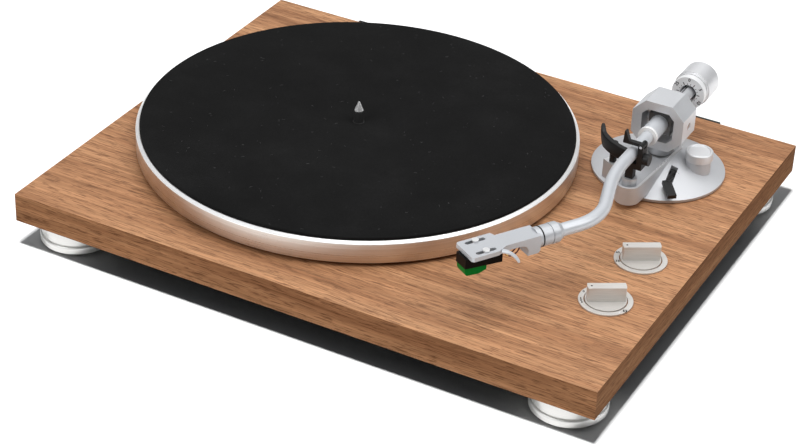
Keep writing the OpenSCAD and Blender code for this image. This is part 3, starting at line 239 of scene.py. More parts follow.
def walnut():
    material, tree, surface = shader("walnut_veneer")
    xyz, normal = object_coords(tree)
    x, y, z = split(tree, xyz)
    end, front, top = (faces_along(tree, part) for part in split(tree, normal))
    along = pick(tree, end, x, y)
    across = pick(tree, top, z, y)
    leaf = multiply_add(tree, end, 0.31, 0.5)

    drift = grain_noise(tree, combine(tree, along, across, leaf), 5.0, 16.0, 2.0)
    sway = math_node(tree, "MULTIPLY", math_node(tree, "SUBTRACT", drift, 0.5), 0.008)
    bent = combine(tree, along, math_node(tree, "ADD", across, sway), leaf)
    figure = grain_noise(tree, bent, 3.2, 62.0, 5.0, 0.62)
    fibre = grain_noise(tree, bent, 18.0, 650.0, 4.0, 0.65)
    pores = grain_noise(tree, bent, 110.0, 1500.0, 1.0, 0.5)

    fibre_tone = ramp(tree, fibre, (0.3, grey(0.58)), (0.7, grey(1.26)))
    combed = mix_colour(tree, 0.9, ramp(tree, figure, *FIGURE_TONES), fibre_tone, "MULTIPLY")
    pore_mask = ramp(tree, pores, (0.55, grey(0)), (0.64, grey(1)))
    pitted = mix_colour(tree, math_node(tree, "MULTIPLY", pore_mask, 0.65), combed, PORE_BROWN)
    # The front face is darkened here: painted shade.
    front_shaded = mix_colour(tree, front, pitted, FRONT_PAINTED_SHADE, "MULTIPLY")
    # The two end faces are darkened here: painted shade.
    shaded = mix_colour(tree, math_node(tree, "MULTIPLY", end, 0.7), front_shaded, END_PAINTED_SHADE)
    polish = ramp(tree, fibre, (0.3, grey(0.56)), (0.7, grey(0.44)))
    tree.links.new(shaded, surface.inputs["Base Color"])
    tree.links.new(polish, surface.inputs["Roughness"])
    tree.links.new(math_node(tree, "MULTIPLY", top, 0.2), surface.inputs["Specular IOR Level"])
    bump(tree, surface, mix_colour(tree, pore_mask, fibre, PORE_HEIGHT), 0.18, 0.15)
    return material


print("veneer ready")

# %% [markdown]
# ## Metal, plastic and felt
# Turned metal has fine rings about its axis, so its noise reads the distance from the axis and the
# height along it. Brushed metal has long fine lines. Cast metal, paint and plastic get an even grain.
# In each, colour and roughness both follow the marks.

# %%
UPRIGHT = (0, 0, 1)


def grade(tree, surface, marks, colour, rough, contrast, swing, low=0.3, high=0.7):
    """Colour and roughness go from low marks to high ones, by contrast and by swing."""
    dark = tuple(c * (1 - contrast) for c in colour)
    light = tuple(min(1.0, c * (1 + contrast)) for c in colour)
    tree.links.new(ramp(tree, marks, (low, dark), (high, light)), surface.inputs["Base Color"])
    smooth, coarse = grey(rough * (1 - swing)), grey(rough * (1 + swing))
    tree.links.new(ramp(tree, marks, (low, smooth), (high, coarse)), surface.inputs["Roughness"])


def turned(name, colour, rough, axis_at, rings=2600.0, contrast=0.12, metallic=1.0, streak=0.0):
    """Lathe marks about an upright axis; streak draws the highlights out."""
    material, tree, surface = shader(name)
    xyz, _ = object_coords(tree)
    local = vector_node(tree, "SUBTRACT", xyz, axis_at)
    height = vector_node(tree, "DOT_PRODUCT", local, UPRIGHT, "Value")
    radius = vector_node(tree, "LENGTH", vector_node(tree, "CROSS_PRODUCT", local, UPRIGHT), out="Value")
    fine = noise(tree, combine(tree, radius, height), rings, 2.0, 0.6)
    grade(tree, surface, weigh(tree, fine, noise(tree, xyz, 38.0), 0.7), colour, rough, contrast, 0.2)
    surface.inputs["Metallic"].default_value = metallic
    if streak:
        round_axis = add(tree, "ShaderNodeTangent", direction_type="RADIAL", axis="Z")
        tree.links.new(round_axis.outputs[0], surface.inputs["Tangent"])
        surface.inputs["Anisotropic"].default_value = streak
        surface.inputs["Anisotropic Rotation"].default_value = 0.25
    bump(tree, surface, fine, 0.25, 0.02)
    return material


def cast(name, colour, rough, metallic=1.0, scale=900.0, contrast=0.06, depth=0.12, spec=0.5):
    material, tree, surface = shader(name)
    xyz, _ = object_coords(tree)
    fine = noise(tree, xyz, scale)
    marks = weigh(tree, fine, noise(tree, xyz, 30.0), 0.5)
    grade(tree, surface, marks, colour, rough, contrast, 0.12, 0.35, 0.65)
    surface.inputs["Metallic"].default_value = metallic
    surface.inputs["Specular IOR Level"].default_value = spec
    bump(tree, surface, fine, depth, 0.03)
    return material


def plastic(name, colour, rough, **grain):
    return cast(name, colour, rough, metallic=0.0, **grain)


def satin(name, colour, rough, metallic, contrast=0.04, depth=0.12):
    return cast(name, colour, rough, metallic, scale=1800.0, contrast=contrast, depth=depth)


def silver_paint(name, colour):
    return cast(name, colour, 0.36, metallic=0.25, scale=1500.0, contrast=0.03, depth=0.06)


def brushed(name, colour, rough, drawn, metallic):
    material, tree, surface = shader(name)
    xyz, _ = object_coords(tree)
    aim = Vector(drawn).normalized()
    side = aim.cross(Vector(UPRIGHT)).normalized()
    u = vector_node(tree, "DOT_PRODUCT", xyz, aim, "Value")
    v = vector_node(tree, "DOT_PRODUCT", xyz, side, "Value")
    height = split(tree, xyz)[2]
    fine = noise(tree, combine(tree, math_node(tree, "MULTIPLY", u, 0.02), v, height), 3200.0, 2.0, 0.65)
    grade(tree, surface, fine, colour, rough, 0.10, 0.2)
    surface.inputs["Metallic"].default_value = metallic
    bump(tree, surface, fine, 0.2, 0.02)
    return material


def felt():
    material, tree, surface = shader("black_felt")
    xyz, _ = object_coords(tree)
    fibre = noise(tree, xyz, 1500.0, 4.0, 0.7)
    nap = weigh(tree, fibre, noise(tree, xyz, 26.0, 4.0), 0.6)
    tone = ramp(tree, nap, (0.34, grey(0.0025)), (0.52, grey(0.005)), (0.70, grey(0.012)))
    tree.links.new(tone, surface.inputs["Base Color"])
    surface.inputs["Roughness"].default_value = 0.95
    surface.inputs["Specular IOR Level"].default_value = 0.08
    surface.inputs["Sheen Weight"].default_value = 0.03
    surface.inputs["Sheen Roughness"].default_value = 0.6
    bump(tree, surface, fibre, 0.5, 0.4)
    return material


print("shaders ready")

# %% [markdown]
# ## One material for each finish
# `looks` has a material for each slot of the record. `own_look` has the few nodes whose tone differs
# from the rest of their slot.

# %%
BAR_ACROSS = (0.848, 0.530, 0)
looks = {
    "walnut": walnut(),
    "felt": felt(),
    "platter_alu": turned("platter_aluminium", (0.72, 0.665, 0.615), 0.32, spindle, streak=0.7),
    "knob_alu": brushed("knob_brushed", (0.70, 0.675, 0.64), 0.36, BAR_ACROSS, metallic=0.4),
    "satin_silver": satin("satin_silver", (0.65, 0.66, 0.68), 0.42, 0.8, depth=0.10),
    "weight_steel": satin("weight_blasted", (0.78, 0.785, 0.80), 0.46, 0.6, depth=0.14),
    "tube_grey": silver_paint("tube_satin_paint", (0.61, 0.63, 0.66)),
    "dark_steel": cast("dark_steel_screw", grey(0.05), 0.4, metallic=0.8),
    "bright_steel": cast("bright_steel_ground", (0.72, 0.725, 0.735), 0.22, scale=600.0),
    "housing_metal": cast("housing_alloy", grey(0.40), 0.45),
    "brass": cast("brass_turned", (0.66, 0.46, 0.17), 0.28),
    "module_can": cast("module_can_tin", grey(0.55), 0.3),
    "foot_metal": cast("foot_satin", (0.74, 0.735, 0.72), 0.28),
    "black_plastic": plastic("black_plastic_fine", grey(0.009), 0.42, scale=1400.0, contrast=0.3,
                             depth=0.25, spec=0.3),
    "rubber": plastic("black_rubber", grey(0.012), 0.75, scale=700.0, contrast=0.3, depth=0.3),
    "cartridge_black": plastic("cartridge_gloss_black", grey(0.003), 0.3, scale=500.0, contrast=0.2,
                               depth=0.05, spec=0.1),
    "stylus_green": plastic("stylus_green_plastic", (0.002, 0.15, 0.018), 0.3, scale=400.0, contrast=0.1,
                            depth=0.05, spec=0.06),
    "wire": plastic("lead_wire_brown", (0.14, 0.022, 0.016), 0.4),
    "switch_blue": plastic("switch_shell", (0.04, 0.07, 0.12), 0.45),
    "switch_white": plastic("switch_cap", (0.72, 0.71, 0.67), 0.4),
    "board_green": plastic("board_lacquer", (0.01, 0.09, 0.035), 0.3, scale=260.0, contrast=0.35),
}
shell_paint = silver_paint("shell_satin_paint", (0.52, 0.535, 0.56))
own_look = {
    "arm_base": satin("base_satin", (0.64, 0.65, 0.67), 0.60, 0.7, depth=0.10),
    "gimbal_yoke": satin("yoke_satin", (0.68, 0.69, 0.71), 0.46, 0.6),
    "force_dial": satin("dial_satin", (0.86, 0.865, 0.875), 0.45, 0.2, contrast=0.03),
    "anti_skate_knob": satin("skate_satin", (0.71, 0.715, 0.725), 0.40, 0.45, contrast=0.03),
    "spindle": cast("spindle_satin", grey(0.86), 0.25, metallic=0.6, contrast=0.04),
    "cartridge_screws": cast("screw_bright", grey(0.80), 0.3, metallic=0.5, contrast=0.04),
    "headshell": shell_paint,
    "locking_collar": shell_paint,
}
ink = plastic("print_ink", grey(0.012), 0.6, scale=2400.0, contrast=0.4)
# A near-white, barely metallic colour that makes a painted highlight: the ring at the sleeve's front and
# the tick on the front bezel.
white_painted_highlight = cast("ring_and_tick_painted_highlight", grey(0.95), 0.25, metallic=0.1, scale=600.0, contrast=0.03)
print("finishes:", len(looks), "and", len(own_look), "of a node's own")

# %% [markdown]
# ## Small tools for pieces
# `adopt` lets a new piece stand for CAD nodes, and `bake` turns modifiers into plain mesh.

# %%


def adopt(obj, *node_names):
    """The piece takes over the nodes' place and the first node's body; the nodes are hidden."""
    first = node_names[0]
    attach(obj, body_of[first])
    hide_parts(*node_names)
    return obj


def new_object(name, data):
    obj = bpy.data.objects.new(name, data)
    bpy.context.collection.objects.link(obj)
    return obj


def finished_mesh(obj):
    return bpy.data.meshes.new_from_object(obj.evaluated_get(bpy.context.evaluated_depsgraph_get()))


def bake(obj):
    done = finished_mesh(obj)
    obj.modifiers.clear()
    old = obj.data
    obj.data = done
    bpy.data.meshes.remove(old)
    return obj


def smooth_by_angle(mesh, limit=35.0):
    work = bmesh.new()
    work.from_mesh(mesh)
    for face in work.faces:
        face.smooth = True
    for edge in work.edges:
        edge.smooth = edge.calc_face_angle(0.0) < math.radians(limit)
    work.to_mesh(mesh)
    work.free()


print("piece tools ready")

# %% [markdown]
# ## Rounding the edges
# A solid from CAD has knife edges. `soften` copies a node's mesh, joins its split faces, rounds the
# sharp edges and lets the copy stand for the node. Large faces keep their own normals, so that a flat
# face still shades flat beside its rounds. The node itself is left alone.

# %%
WELD = 0.004
FLAT_WITHIN = math.radians(0.3)
SHARP_FROM = math.radians(40.0)


def soften(node, width):
    mesh = nodes[node].data.copy()
    work = bmesh.new()
    work.from_mesh(mesh)
    bmesh.ops.remove_doubles(work, verts=work.verts, dist=WELD * MM)
    bmesh.ops.dissolve_limit(work, angle_limit=FLAT_WITHIN, verts=work.verts, edges=work.edges)
    for face in work.faces:
        face.smooth = True
    work.to_mesh(mesh)
    work.free()
    stored_normals = mesh.attributes.get("custom_normal")
    if stored_normals:
        mesh.attributes.remove(stored_normals)
    mesh.materials.clear()
    mesh.materials.append(own_look.get(node) or looks[slot_of[node]])
    obj = new_object(node + "_soft", mesh)
    round_over = obj.modifiers.new("round", "BEVEL")
    round_over.width = width * MM
    round_over.segments = 2
    round_over.limit_method = "ANGLE"
    round_over.angle_limit = SHARP_FROM
    round_over.use_clamp_overlap = True
    bake(obj)
    smooth_by_angle(obj.data)
    level = obj.modifiers.new("level", "WEIGHTED_NORMAL")
    level.keep_sharp = True
    level.weight = 100
    return adopt(bake(obj), node)


soft_edges = {
    "plinth": 0.5, "arm_base": 0.35, "gimbal_yoke": 1.6, "arm_hub": 0.4, "headshell": 0.2,
    "cartridge_body": 0.4, "stylus_holder": 0.5, "counterweight": 0.5, "force_dial": 0.35,
    "locking_collar": 0.15, "anti_skate_knob": 0.3, "arm_rest": 0.4, "arm_lock": 0.35,
    "cue_lever": 0.5, "start_knob": 0.35, "speed_knob": 0.35, "knob_bezels": 0.25,
    "hinge_sockets": 0.5, "cartridge_screws": 0.2, "pivot_screws": 0.2, "phono_jacks": 0.25,
    "earth_terminal": 0.25, "power_inlet": 0.3, "rear_panel": 0.15, "output_switch": 0.25,
    "bottom_cover": 0.3, "rear_stub": 0.15, "spindle": 0.1, "lead_wires": 0.02,
}
softened = {node: soften(node, width) for node, width in soft_edges.items()}
for node, obj in nodes.items():
    if node not in softened:
        obj.data.materials.clear()
        obj.data.materials.append(looks[slot_of[node]])
print("rounded:", len(softened), "faces:", sum(len(o.data.polygons) for o in softened.values()))

# %% [markdown]
# ## The lathe
# The platter, the mat and the feet are drawn as one profile each and swept round their axis with
# enough steps to look round from close by. `rounded` eases each corner of a profile first.

# %%


def lathe(name, profile, at, steps):
    """Closed profile of (radius, height) in millimetres, swept about the upright line through at."""
    mesh = bpy.data.meshes.new(name)
    work = bmesh.new()
    rings = []
    for i in range(steps):
        turn = 2 * math.pi * i / steps
        x, y = MM * math.cos(turn), MM * math.sin(turn)
        rings.append([work.verts.new((at.x + r * x, at.y + r * y, at.z + h * MM)) for r, h in profile])
    count = len(profile)
    for i in range(steps):
        here, there = rings[i], rings[(i + 1) % steps]
        for k in range(count):
            n = (k + 1) % count
            work.faces.new((here[k], there[k], there[n], here[n]))
    bmesh.ops.recalc_face_normals(work, faces=work.faces)
    work.to_mesh(mesh)
    work.free()
    return new_object(name, mesh)


def rounded(points, radius, steps=3):
    """Closed profile with each corner cut by a small arc."""
    out = []
    count = len(points)
    for i in range(count):
        before, here, after = (Vector(points[(i + k) % count]) for k in (-1, 0, 1))
        a, b = before - here, after - here
        cut = min(radius, a.length * 0.45, b.length * 0.45)
        start, stop = here + a.normalized() * cut, here + b.normalized() * cut
        for k in range(steps + 1):
            t = k / steps
            out.append(tuple((1 - t) ** 2 * start + 2 * t * (1 - t) * here + t ** 2 * stop))
    return out


print("lathe ready")

# %% [markdown]
# ## Platter and mat
# The platter is a web with a ring below for the belt and a heavy rim with a polished bevel; the bevel's
# near-white colour is a painted highlight. The mat lies on its top, and its hole closes on the spindle's
# seat.

# %%
PLATTER_HOLE_R = 4.02
WEB_T = 5
BELT_RING_IN, BELT_RING_OUT, BELT_RING_H = 88, 92, 14.5
RIM_T = 8
BEVEL_W, BEVEL_H = 2.2, 1.5
BEVEL_MARGIN_W, BEVEL_MARGIN_H = 0.4, 0.1
MAT_HOLE_R = 4.05

deck = Vector((spindle.x, spindle.y, deck_z))
platter_low, platter_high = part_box("platter")
rim_r = (platter_high.x - platter_low.x) / 2 / MM
gap = (platter_low.z - deck_z) / MM
top = (platter_high.z - deck_z) / MM
web = top - WEB_T
ring_low = top - BELT_RING_H
platter_profile = [
    (PLATTER_HOLE_R, web), (BELT_RING_IN, web), (BELT_RING_IN, ring_low),
    (BELT_RING_OUT, ring_low), (BELT_RING_OUT, web), (rim_r - RIM_T, web),
    (rim_r - RIM_T, gap), (rim_r - 0.4, gap), (rim_r, gap + 0.6),
    (rim_r, top - BEVEL_H), (rim_r - BEVEL_W, top), (PLATTER_HOLE_R, top),
]
platter = lathe("platter_turned", rounded(platter_profile, 0.25), deck, 256)
platter.data.materials.append(looks["platter_alu"])
# The bevel is polished, and its near-white colour is a painted highlight.
platter.data.materials.append(turned("platter_bevel_polish_and_painted_highlight", grey(0.95), 0.3, spindle, 2200.0,
                                     contrast=0.02, metallic=0.3))
bevel_low, bevel_high = top - BEVEL_H - BEVEL_MARGIN_H, top - 0.02
bevel_in = (rim_r - BEVEL_W - BEVEL_MARGIN_W) * MM
for face in platter.data.polygons:
    level_with = bevel_low < (face.center.z - deck_z) / MM < bevel_high
    on_bevel = level_with and (face.center - deck).xy.length > bevel_in
    face.material_index = 1 if on_bevel else 0
smooth_by_angle(platter.data, 30)
adopt(platter, "platter")

mat_low, mat_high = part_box("slip_mat")
mat_r = (mat_high.x - mat_low.x) / 2 / MM
mat_top = (mat_high.z - deck_z) / MM
mat_profile = [
    (MAT_HOLE_R, top), (mat_r - 0.3, top), (mat_r, top + 0.5), (mat_r - 0.2, mat_top - 0.3),
    (mat_r - 1.0, mat_top), (MAT_HOLE_R + 0.35, mat_top), (MAT_HOLE_R, mat_top - 0.3),
]
mat = lathe("slip_mat_felt", rounded(mat_profile, 0.2, 2), deck, 256)
mat.data.materials.append(looks["felt"])
smooth_by_angle(mat.data, 50)
adopt(mat, "slip_mat")
print("platter", round(2 * rim_r, 1), "mm, mat", round(2 * mat_r, 1), "mm across")

# %% [markdown]
# ## Feet
# Four alike: a wide step below, a groove, and a narrower step above. A pad sits in the recess
# underneath, and a bolt passes through the wall at the top.

# %%
PAD_R, PAD_DEPTH = 20.02, 1
BOLT_R, TOP_WALL_T, CORE_R = 2.6, 6, 6
GROOVE_UP, GROOVE_H, GROOVE_IN = 5.6, 0.8, 1.8
STEP_IN = 1
LOW_EASE, EASE = 0.8, 0.6

foot_nodes = [n for n in nodes if n.startswith("foot_front") or n.startswith("foot_rear")]
for node in foot_nodes:
    low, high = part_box(node)
    r = (high.x - low.x) / 2 / MM
    step_r = r - STEP_IN
    base, head = low.z / MM, high.z / MM
    groove = base + GROOVE_UP
    ledge = groove + GROOVE_H
    profile = [
        (CORE_R, base + PAD_DEPTH), (PAD_R, base + PAD_DEPTH), (PAD_R, base),
        (r - LOW_EASE, base), (r, base + LOW_EASE), (r, groove - EASE), (r - EASE, groove),
        (r - GROOVE_IN, groove), (r - GROOVE_IN, ledge),
        (step_r, ledge), (step_r, head - EASE), (step_r - EASE, head),
        (BOLT_R, head), (BOLT_R, head - TOP_WALL_T), (CORE_R, head - TOP_WALL_T),
    ]
    foot_at = Vector((centre(node).x, centre(node).y, 0))
    foot = lathe(node + "_turned", rounded(profile, 0.3), foot_at, 128)
    foot.data.materials.append(turned(node + "_satin", (0.74, 0.735, 0.715), 0.36, centre(node),
                                      2400.0, metallic=0.55))
    smooth_by_angle(foot.data, 32)
    adopt(foot, node)
print("feet:", len(foot_nodes))

# %% [markdown]
# ## Arm tube
# Swept pieces are made of cross-sections along a path, with a skin over them. The tube follows the
# CAD's path: a straight run, a wide bend, a short straight, a tight bend back and a straight end.

# %%


def skin(name, sections, material, smooth_below):
    """Closed skin over rings of points; each ring has the same number of points."""
    mesh = bpy.data.meshes.new(name)
    work = bmesh.new()
    rings = [[work.verts.new(p) for p in ring] for ring in sections]
    count = len(rings[0])
    for here, there in zip(rings, rings[1:]):
        for k in range(count):
            n = (k + 1) % count
            work.faces.new((here[k], here[n], there[n], there[k]))
    work.faces.new(rings[0][::-1])
    work.faces.new(rings[-1])
    bmesh.ops.recalc_face_normals(work, faces=work.faces)
    work.to_mesh(mesh)
    work.free()
    mesh.materials.append(material)
    smooth_by_angle(mesh, smooth_below)
    return new_object(name, mesh)


def round_ring(radius, steps):
    turns = [2 * math.pi * k / steps for k in range(steps)]
    return [(radius * math.cos(t), radius * math.sin(t)) for t in turns]


TUBE_R, RUN, BEND1_R, BEND_GAP, BEND2_R, TUBE_END = 4.3, 66, 124, 20.5, 41.5, 13
TUBE_IN_COLLAR = 7.4
RUN_STOPS = (7, 20, 40, 58, RUN)
BEND1_STEPS, BEND2_STEPS = 14, 40
bend1_a, shell_a = math.radians(16.5), math.radians(31.5)
bend1_end = Vector((BEND1_R * (1 - math.cos(bend1_a)), -RUN - BEND1_R * math.sin(bend1_a)))
bend2_start = bend1_end + BEND_GAP * Vector((math.sin(bend1_a), -math.cos(bend1_a)))
bend2_mid = bend2_start - BEND2_R * Vector((math.cos(bend1_a), math.sin(bend1_a)))
bend2_end = bend2_mid + BEND2_R * Vector((math.cos(shell_a), -math.sin(shell_a)))
shell_x = Vector((math.cos(shell_a), -math.sin(shell_a)))
shell_f = Vector((-math.sin(shell_a), -math.cos(shell_a)))
collar_at = bend2_end + TUBE_END * shell_f


def arm_point(x, y, z):
    return Vector((pivot.x + x * MM, pivot.y + y * MM, arm_z + z * MM))


path = [(Vector((0, -y)), 0.0) for y in RUN_STOPS]
for k in range(1, BEND1_STEPS + 1):
    t = bend1_a * k / BEND1_STEPS
    path.append((Vector((BEND1_R * (1 - math.cos(t)), -RUN - BEND1_R * math.sin(t))), t))
for k in range(1, BEND2_STEPS + 1):
    t = bend1_a - (bend1_a + shell_a) * k / BEND2_STEPS
    path.append((bend2_mid + BEND2_R * Vector((math.cos(t), math.sin(t))), t))
path.append((collar_at, -shell_a))
path.append((collar_at + TUBE_IN_COLLAR * shell_f, -shell_a))
sections = []
for flat, turn in path:
    side = Vector((math.cos(turn), math.sin(turn)))
    sections.append([arm_point(*(flat + u * side), v) for u, v in round_ring(TUBE_R, 40)])
tube = skin("arm_tube_swept", sections, looks["tube_grey"], 40)
adopt(tube, "arm_tube")
print("tube:", len(sections), "sections")

# %% [markdown]
# ## Finger lift
# A thin strip that leaves the headshell's plate level, then curls down and narrows to a round end.
# Its place is given across the headshell, forward from the collar, and up from the arm's axis.

# %%
LIFT_X, LIFT_FORWARD, LIFT_Z = 9.08, 48.59, 4.2
LIFT_STEPS = 26
CURL_R = 11
LEVEL_SHARE, NARROWS_UNTIL, ROUNDS_FROM, ROUND_SHARE = 0.1, 0.4, 0.94, 0.062
ROOT_IN, LEVEL_L = 0.2, 0.8
ROOT_W, NARROWER = 3.8, 1.0
ROOT_T, THINNER = 1.5, 0.3
sweep, lift_dir = math.radians(67), math.radians(50)


def shell_point(x, forward, z):
    flat = collar_at + x * shell_x + forward * shell_f
    return arm_point(flat.x, flat.y, z)


def soft_box(width, height, corner, steps):
    half_w, half_h = width / 2, height / 2
    corners = [(-half_w, -half_h), (half_w, -half_h), (half_w, half_h), (-half_w, half_h)]
    return rounded(corners, corner, steps)


sections = []
for k in range(LIFT_STEPS + 1):
    t = k / LIFT_STEPS
    bend = sweep * max(0.0, (t - LEVEL_SHARE) / (1 - LEVEL_SHARE))
    along_mid = ROOT_IN + LEVEL_L * min(1.0, t / LEVEL_SHARE) + CURL_R * math.sin(bend)
    drop = CURL_R * (1 - math.cos(bend))
    tip = max(0.0, t - ROUNDS_FROM) / ROUND_SHARE
    width = (ROOT_W - NARROWER * min(1.0, t / NARROWS_UNTIL)) * math.sqrt(max(0.05, 1 - tip ** 2))
    ring = []
    for u, v in soft_box(width, ROOT_T - THINNER * t, 0.45, 2):
        along = along_mid + v * math.sin(bend)
        ring.append(shell_point(
            LIFT_X + along * math.cos(lift_dir) + u * math.sin(lift_dir),
            LIFT_FORWARD - along * math.sin(lift_dir) + u * math.cos(lift_dir),
            LIFT_Z - drop + v * math.cos(bend),
        ))
    sections.append(ring)
lift = skin("finger_lift_strip", sections, looks["tube_grey"], 50)
adopt(lift, "finger_lift")
print("finger lift:", len(sections), "sections")

# %% [markdown]
# ## Arm lifter
# A crescent about the arm's pivot, with a section at each degree. It rises to a thin horn at its far
# end and has a deep keel along the rest. A round piston carries it.

# %%
LIFTER_R, LIFTER_TOP, LIFTER_T = 41, 32.9, 2.2
LIFTER_FROM_DEG, LIFTER_TO_DEG = 214, 272
HORN_H, HORN_SPAN_DEG, HORN_CURVE = 3.9, 7, 1.3
KEEL_H, KEEL_SPAN_DEG = 7.2, 13
LIFTER_W, KEEL_WIDER = 2.9, 1.1
PISTON_PATH_R, PISTON_DEG = 39.5, 239
PISTON_R, PISTON_LOW, PISTON_HIGH, PISTON_CORE_R = 2.5, 7, 31.9, 0.02


def round_pivot(radius, degrees, height):
    turn = math.radians(degrees)
    return Vector((pivot.x + radius * MM * math.cos(turn), pivot.y + radius * MM * math.sin(turn),
                   deck_z + height * MM))


sections = []
for degrees in range(LIFTER_FROM_DEG, LIFTER_TO_DEG + 1):
    come, left = degrees - LIFTER_FROM_DEG, LIFTER_TO_DEG - degrees
    horn = max(0.0, 1 - come / HORN_SPAN_DEG)
    keel = min(1.0, come / KEEL_SPAN_DEG)
    high = LIFTER_TOP + HORN_H * horn ** HORN_CURVE
    low = LIFTER_TOP - LIFTER_T - KEEL_H * math.sin(math.pi / 2 * keel)
    width = (LIFTER_W + KEEL_WIDER * keel) * min(1.0, 0.75 + come / 4, 0.6 + left / 5)
    outline = soft_box(width, high - low, min(0.9, width * 0.4), 3)
    sections.append([round_pivot(LIFTER_R + u, degrees, (high + low) / 2 + v) for u, v in outline])
lifter = skin("arm_lifter_crescent", sections, looks["black_plastic"], 45)
adopt(lifter, "arm_lifter")

piston_profile = [(PISTON_CORE_R, PISTON_LOW), (PISTON_R, PISTON_LOW), (PISTON_R, PISTON_HIGH),
                  (PISTON_CORE_R, PISTON_HIGH)]
piston = lathe("lift_piston", rounded(piston_profile, 0.3), round_pivot(PISTON_PATH_R, PISTON_DEG, 0), 64)
piston.data.materials.append(looks["black_plastic"])
smooth_by_angle(piston.data, 40)
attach(piston, body_of["arm_lifter"])
print("lifter:", len(sections), "sections and a piston")

# %% [markdown]
# ## Two finishes, or a finish and painted light, on one piece
# Some pieces carry two finishes: gold pins on the black cartridge, a dark block with a pale sleeve on
# the arm's hub, an inked dot on each knob. The hub's block is dark partly as alloy and partly as painted
# shade, and the white ring at the sleeve's front is a painted highlight. The tray's lip has a painted
# highlight and its floor painted shade, the anti-skate knob has a band of painted shade at its foot, and
# the spindle below its cone has a painted dark reflection. `paint` picks the faces by where they lie.

# %%
SLEEVE_FROM, RING_FROM = -7.3, -25.7
PINS_BELOW, WIRE_ENDS_FROM = 46.8, 40.6
LIP_LOW, LIP_HIGH = 16.6, 17.2
TRAY_LOW, TRAY_HIGH, TRAY_HALF_W = 14.3, 14.7, 11
SKATE_SHADE_H, UNDERSIDE_T, CONE_H = 0.5, 0.05, 6.6
DOT_OUT, DOT_R, DOT_DEPTH, DOT_RIM = 9.6, 0.72, 0.7, 0.05
bar_turn = math.radians(32)


def paint(node, material, chosen):
    """Gives the material to the faces whose centre is chosen, and counts them."""
    mesh = softened[node].data
    mesh.materials.append(material)
    index = len(mesh.materials) - 1
    count = 0
    for face in mesh.polygons:
        if chosen(face.center):
            face.material_index = index
            count += 1
    return count


def along_arm(point):
    return (point.y - pivot.y) / MM


def in_front_of_collar(point):
    flat = Vector(((point.x - pivot.x) / MM, (point.y - pivot.y) / MM)) - collar_at
    return flat.dot(shell_f)


def above_deck(point):
    return (point.z - deck_z) / MM


def above_low(node):
    low_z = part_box(node)[0].z
    return lambda point: (point.z - low_z) / MM


def below_high(node):
    high_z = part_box(node)[1].z
    return lambda point: (high_z - point.z) / MM


def on_dot(node):
    """The small dimple near the left end of a knob's bar."""
    axis = centre(node)
    dot = Vector((axis.x - DOT_OUT * MM * math.cos(bar_turn), axis.y - DOT_OUT * MM * math.sin(bar_turn)))
    depth = below_high(node)
    return lambda point: (point.xy - dot).length < DOT_R * MM and DOT_RIM < depth(point) < DOT_DEPTH


def in_tray(point):
    return abs(point.x - pivot.x) < TRAY_HALF_W * MM and TRAY_LOW < above_deck(point) < TRAY_HIGH


# Dark alloy, also used as painted shade: on the hub's block inside the yoke and round the foot of the
# anti-skate knob.
dark_alloy_and_shade = cast("hub_dark_alloy_and_painted_shade", grey(0.16), 0.38)
gold = cast("pin_gold", (0.80, 0.58, 0.20), 0.22)
# The tray's lip in a lighter copy of the base's metal: painted highlight.
lip_painted_highlight = satin("lip_painted_highlight_satin", (0.90, 0.905, 0.915), 0.30, 0.6, contrast=0.03)
# The tray's floor in a darker copy of the base's metal: painted shade.
tray_shade = satin("tray_floor_painted_shade", (0.66, 0.67, 0.69), 0.50, 0.5)
# Near black on the spindle below its cone: a painted reflection of the dark mat.
spindle_painted_reflection = plastic("spindle_painted_reflection", grey(0.03), 0.5, contrast=0.04)
underside_black = plastic("underside_black", grey(0.012), 0.6, scale=500.0, contrast=0.3, depth=0.2,
                          spec=0.2)
skate_up, plinth_up, spindle_down = above_low("anti_skate_knob"), above_low("plinth"), below_high("spindle")
# Real finishes, and also painted shade, painted highlights and a painted reflection.
finishes_and_painted_light = [
    # The hub's block inside the yoke: partly dark alloy, partly painted shade.
    ("arm_hub", dark_alloy_and_shade, lambda c: along_arm(c) > SLEEVE_FROM),
    ("arm_hub", looks["tube_grey"], lambda c: RING_FROM < along_arm(c) <= SLEEVE_FROM),
    # The ring at the sleeve's front: painted highlight.
    ("arm_hub", white_painted_highlight, lambda c: along_arm(c) <= RING_FROM),
    ("cartridge_body", gold, lambda c: in_front_of_collar(c) < PINS_BELOW),
    ("lead_wires", gold, lambda c: in_front_of_collar(c) > WIRE_ENDS_FROM),
    # The tray's lip: painted highlight.
    ("arm_base", lip_painted_highlight, lambda c: LIP_LOW < above_deck(c) < LIP_HIGH),
    # The tray's floor: painted shade.
    ("arm_base", tray_shade, in_tray),
    # A thin band at the foot of the anti-skate knob: painted shade in the gap above the boss.
    ("anti_skate_knob", dark_alloy_and_shade, lambda c: skate_up(c) < SKATE_SHADE_H),
    ("plinth", underside_black, lambda c: plinth_up(c) < UNDERSIDE_T),
    # The spindle below its cone: painted dark reflection of the mat.
    ("spindle", spindle_painted_reflection, lambda c: spindle_down(c) > CONE_H),
    ("start_knob", ink, on_dot("start_knob")),
    ("speed_knob", ink, on_dot("speed_knob")),
]
painted = sum(paint(*finish) for finish in finishes_and_painted_light)
print("painted:", painted, "faces")

# %% [markdown]
# ## Printing tools
# Ticks repeat round the force dial, so Geometry Nodes sets one small bar at each point of a circle.
# The modifier's inputs give the count, the radius and the bar's size. The figures are a plain font.

# %%
INK_T = 0.12
FIGURE_SPREAD = 0.07


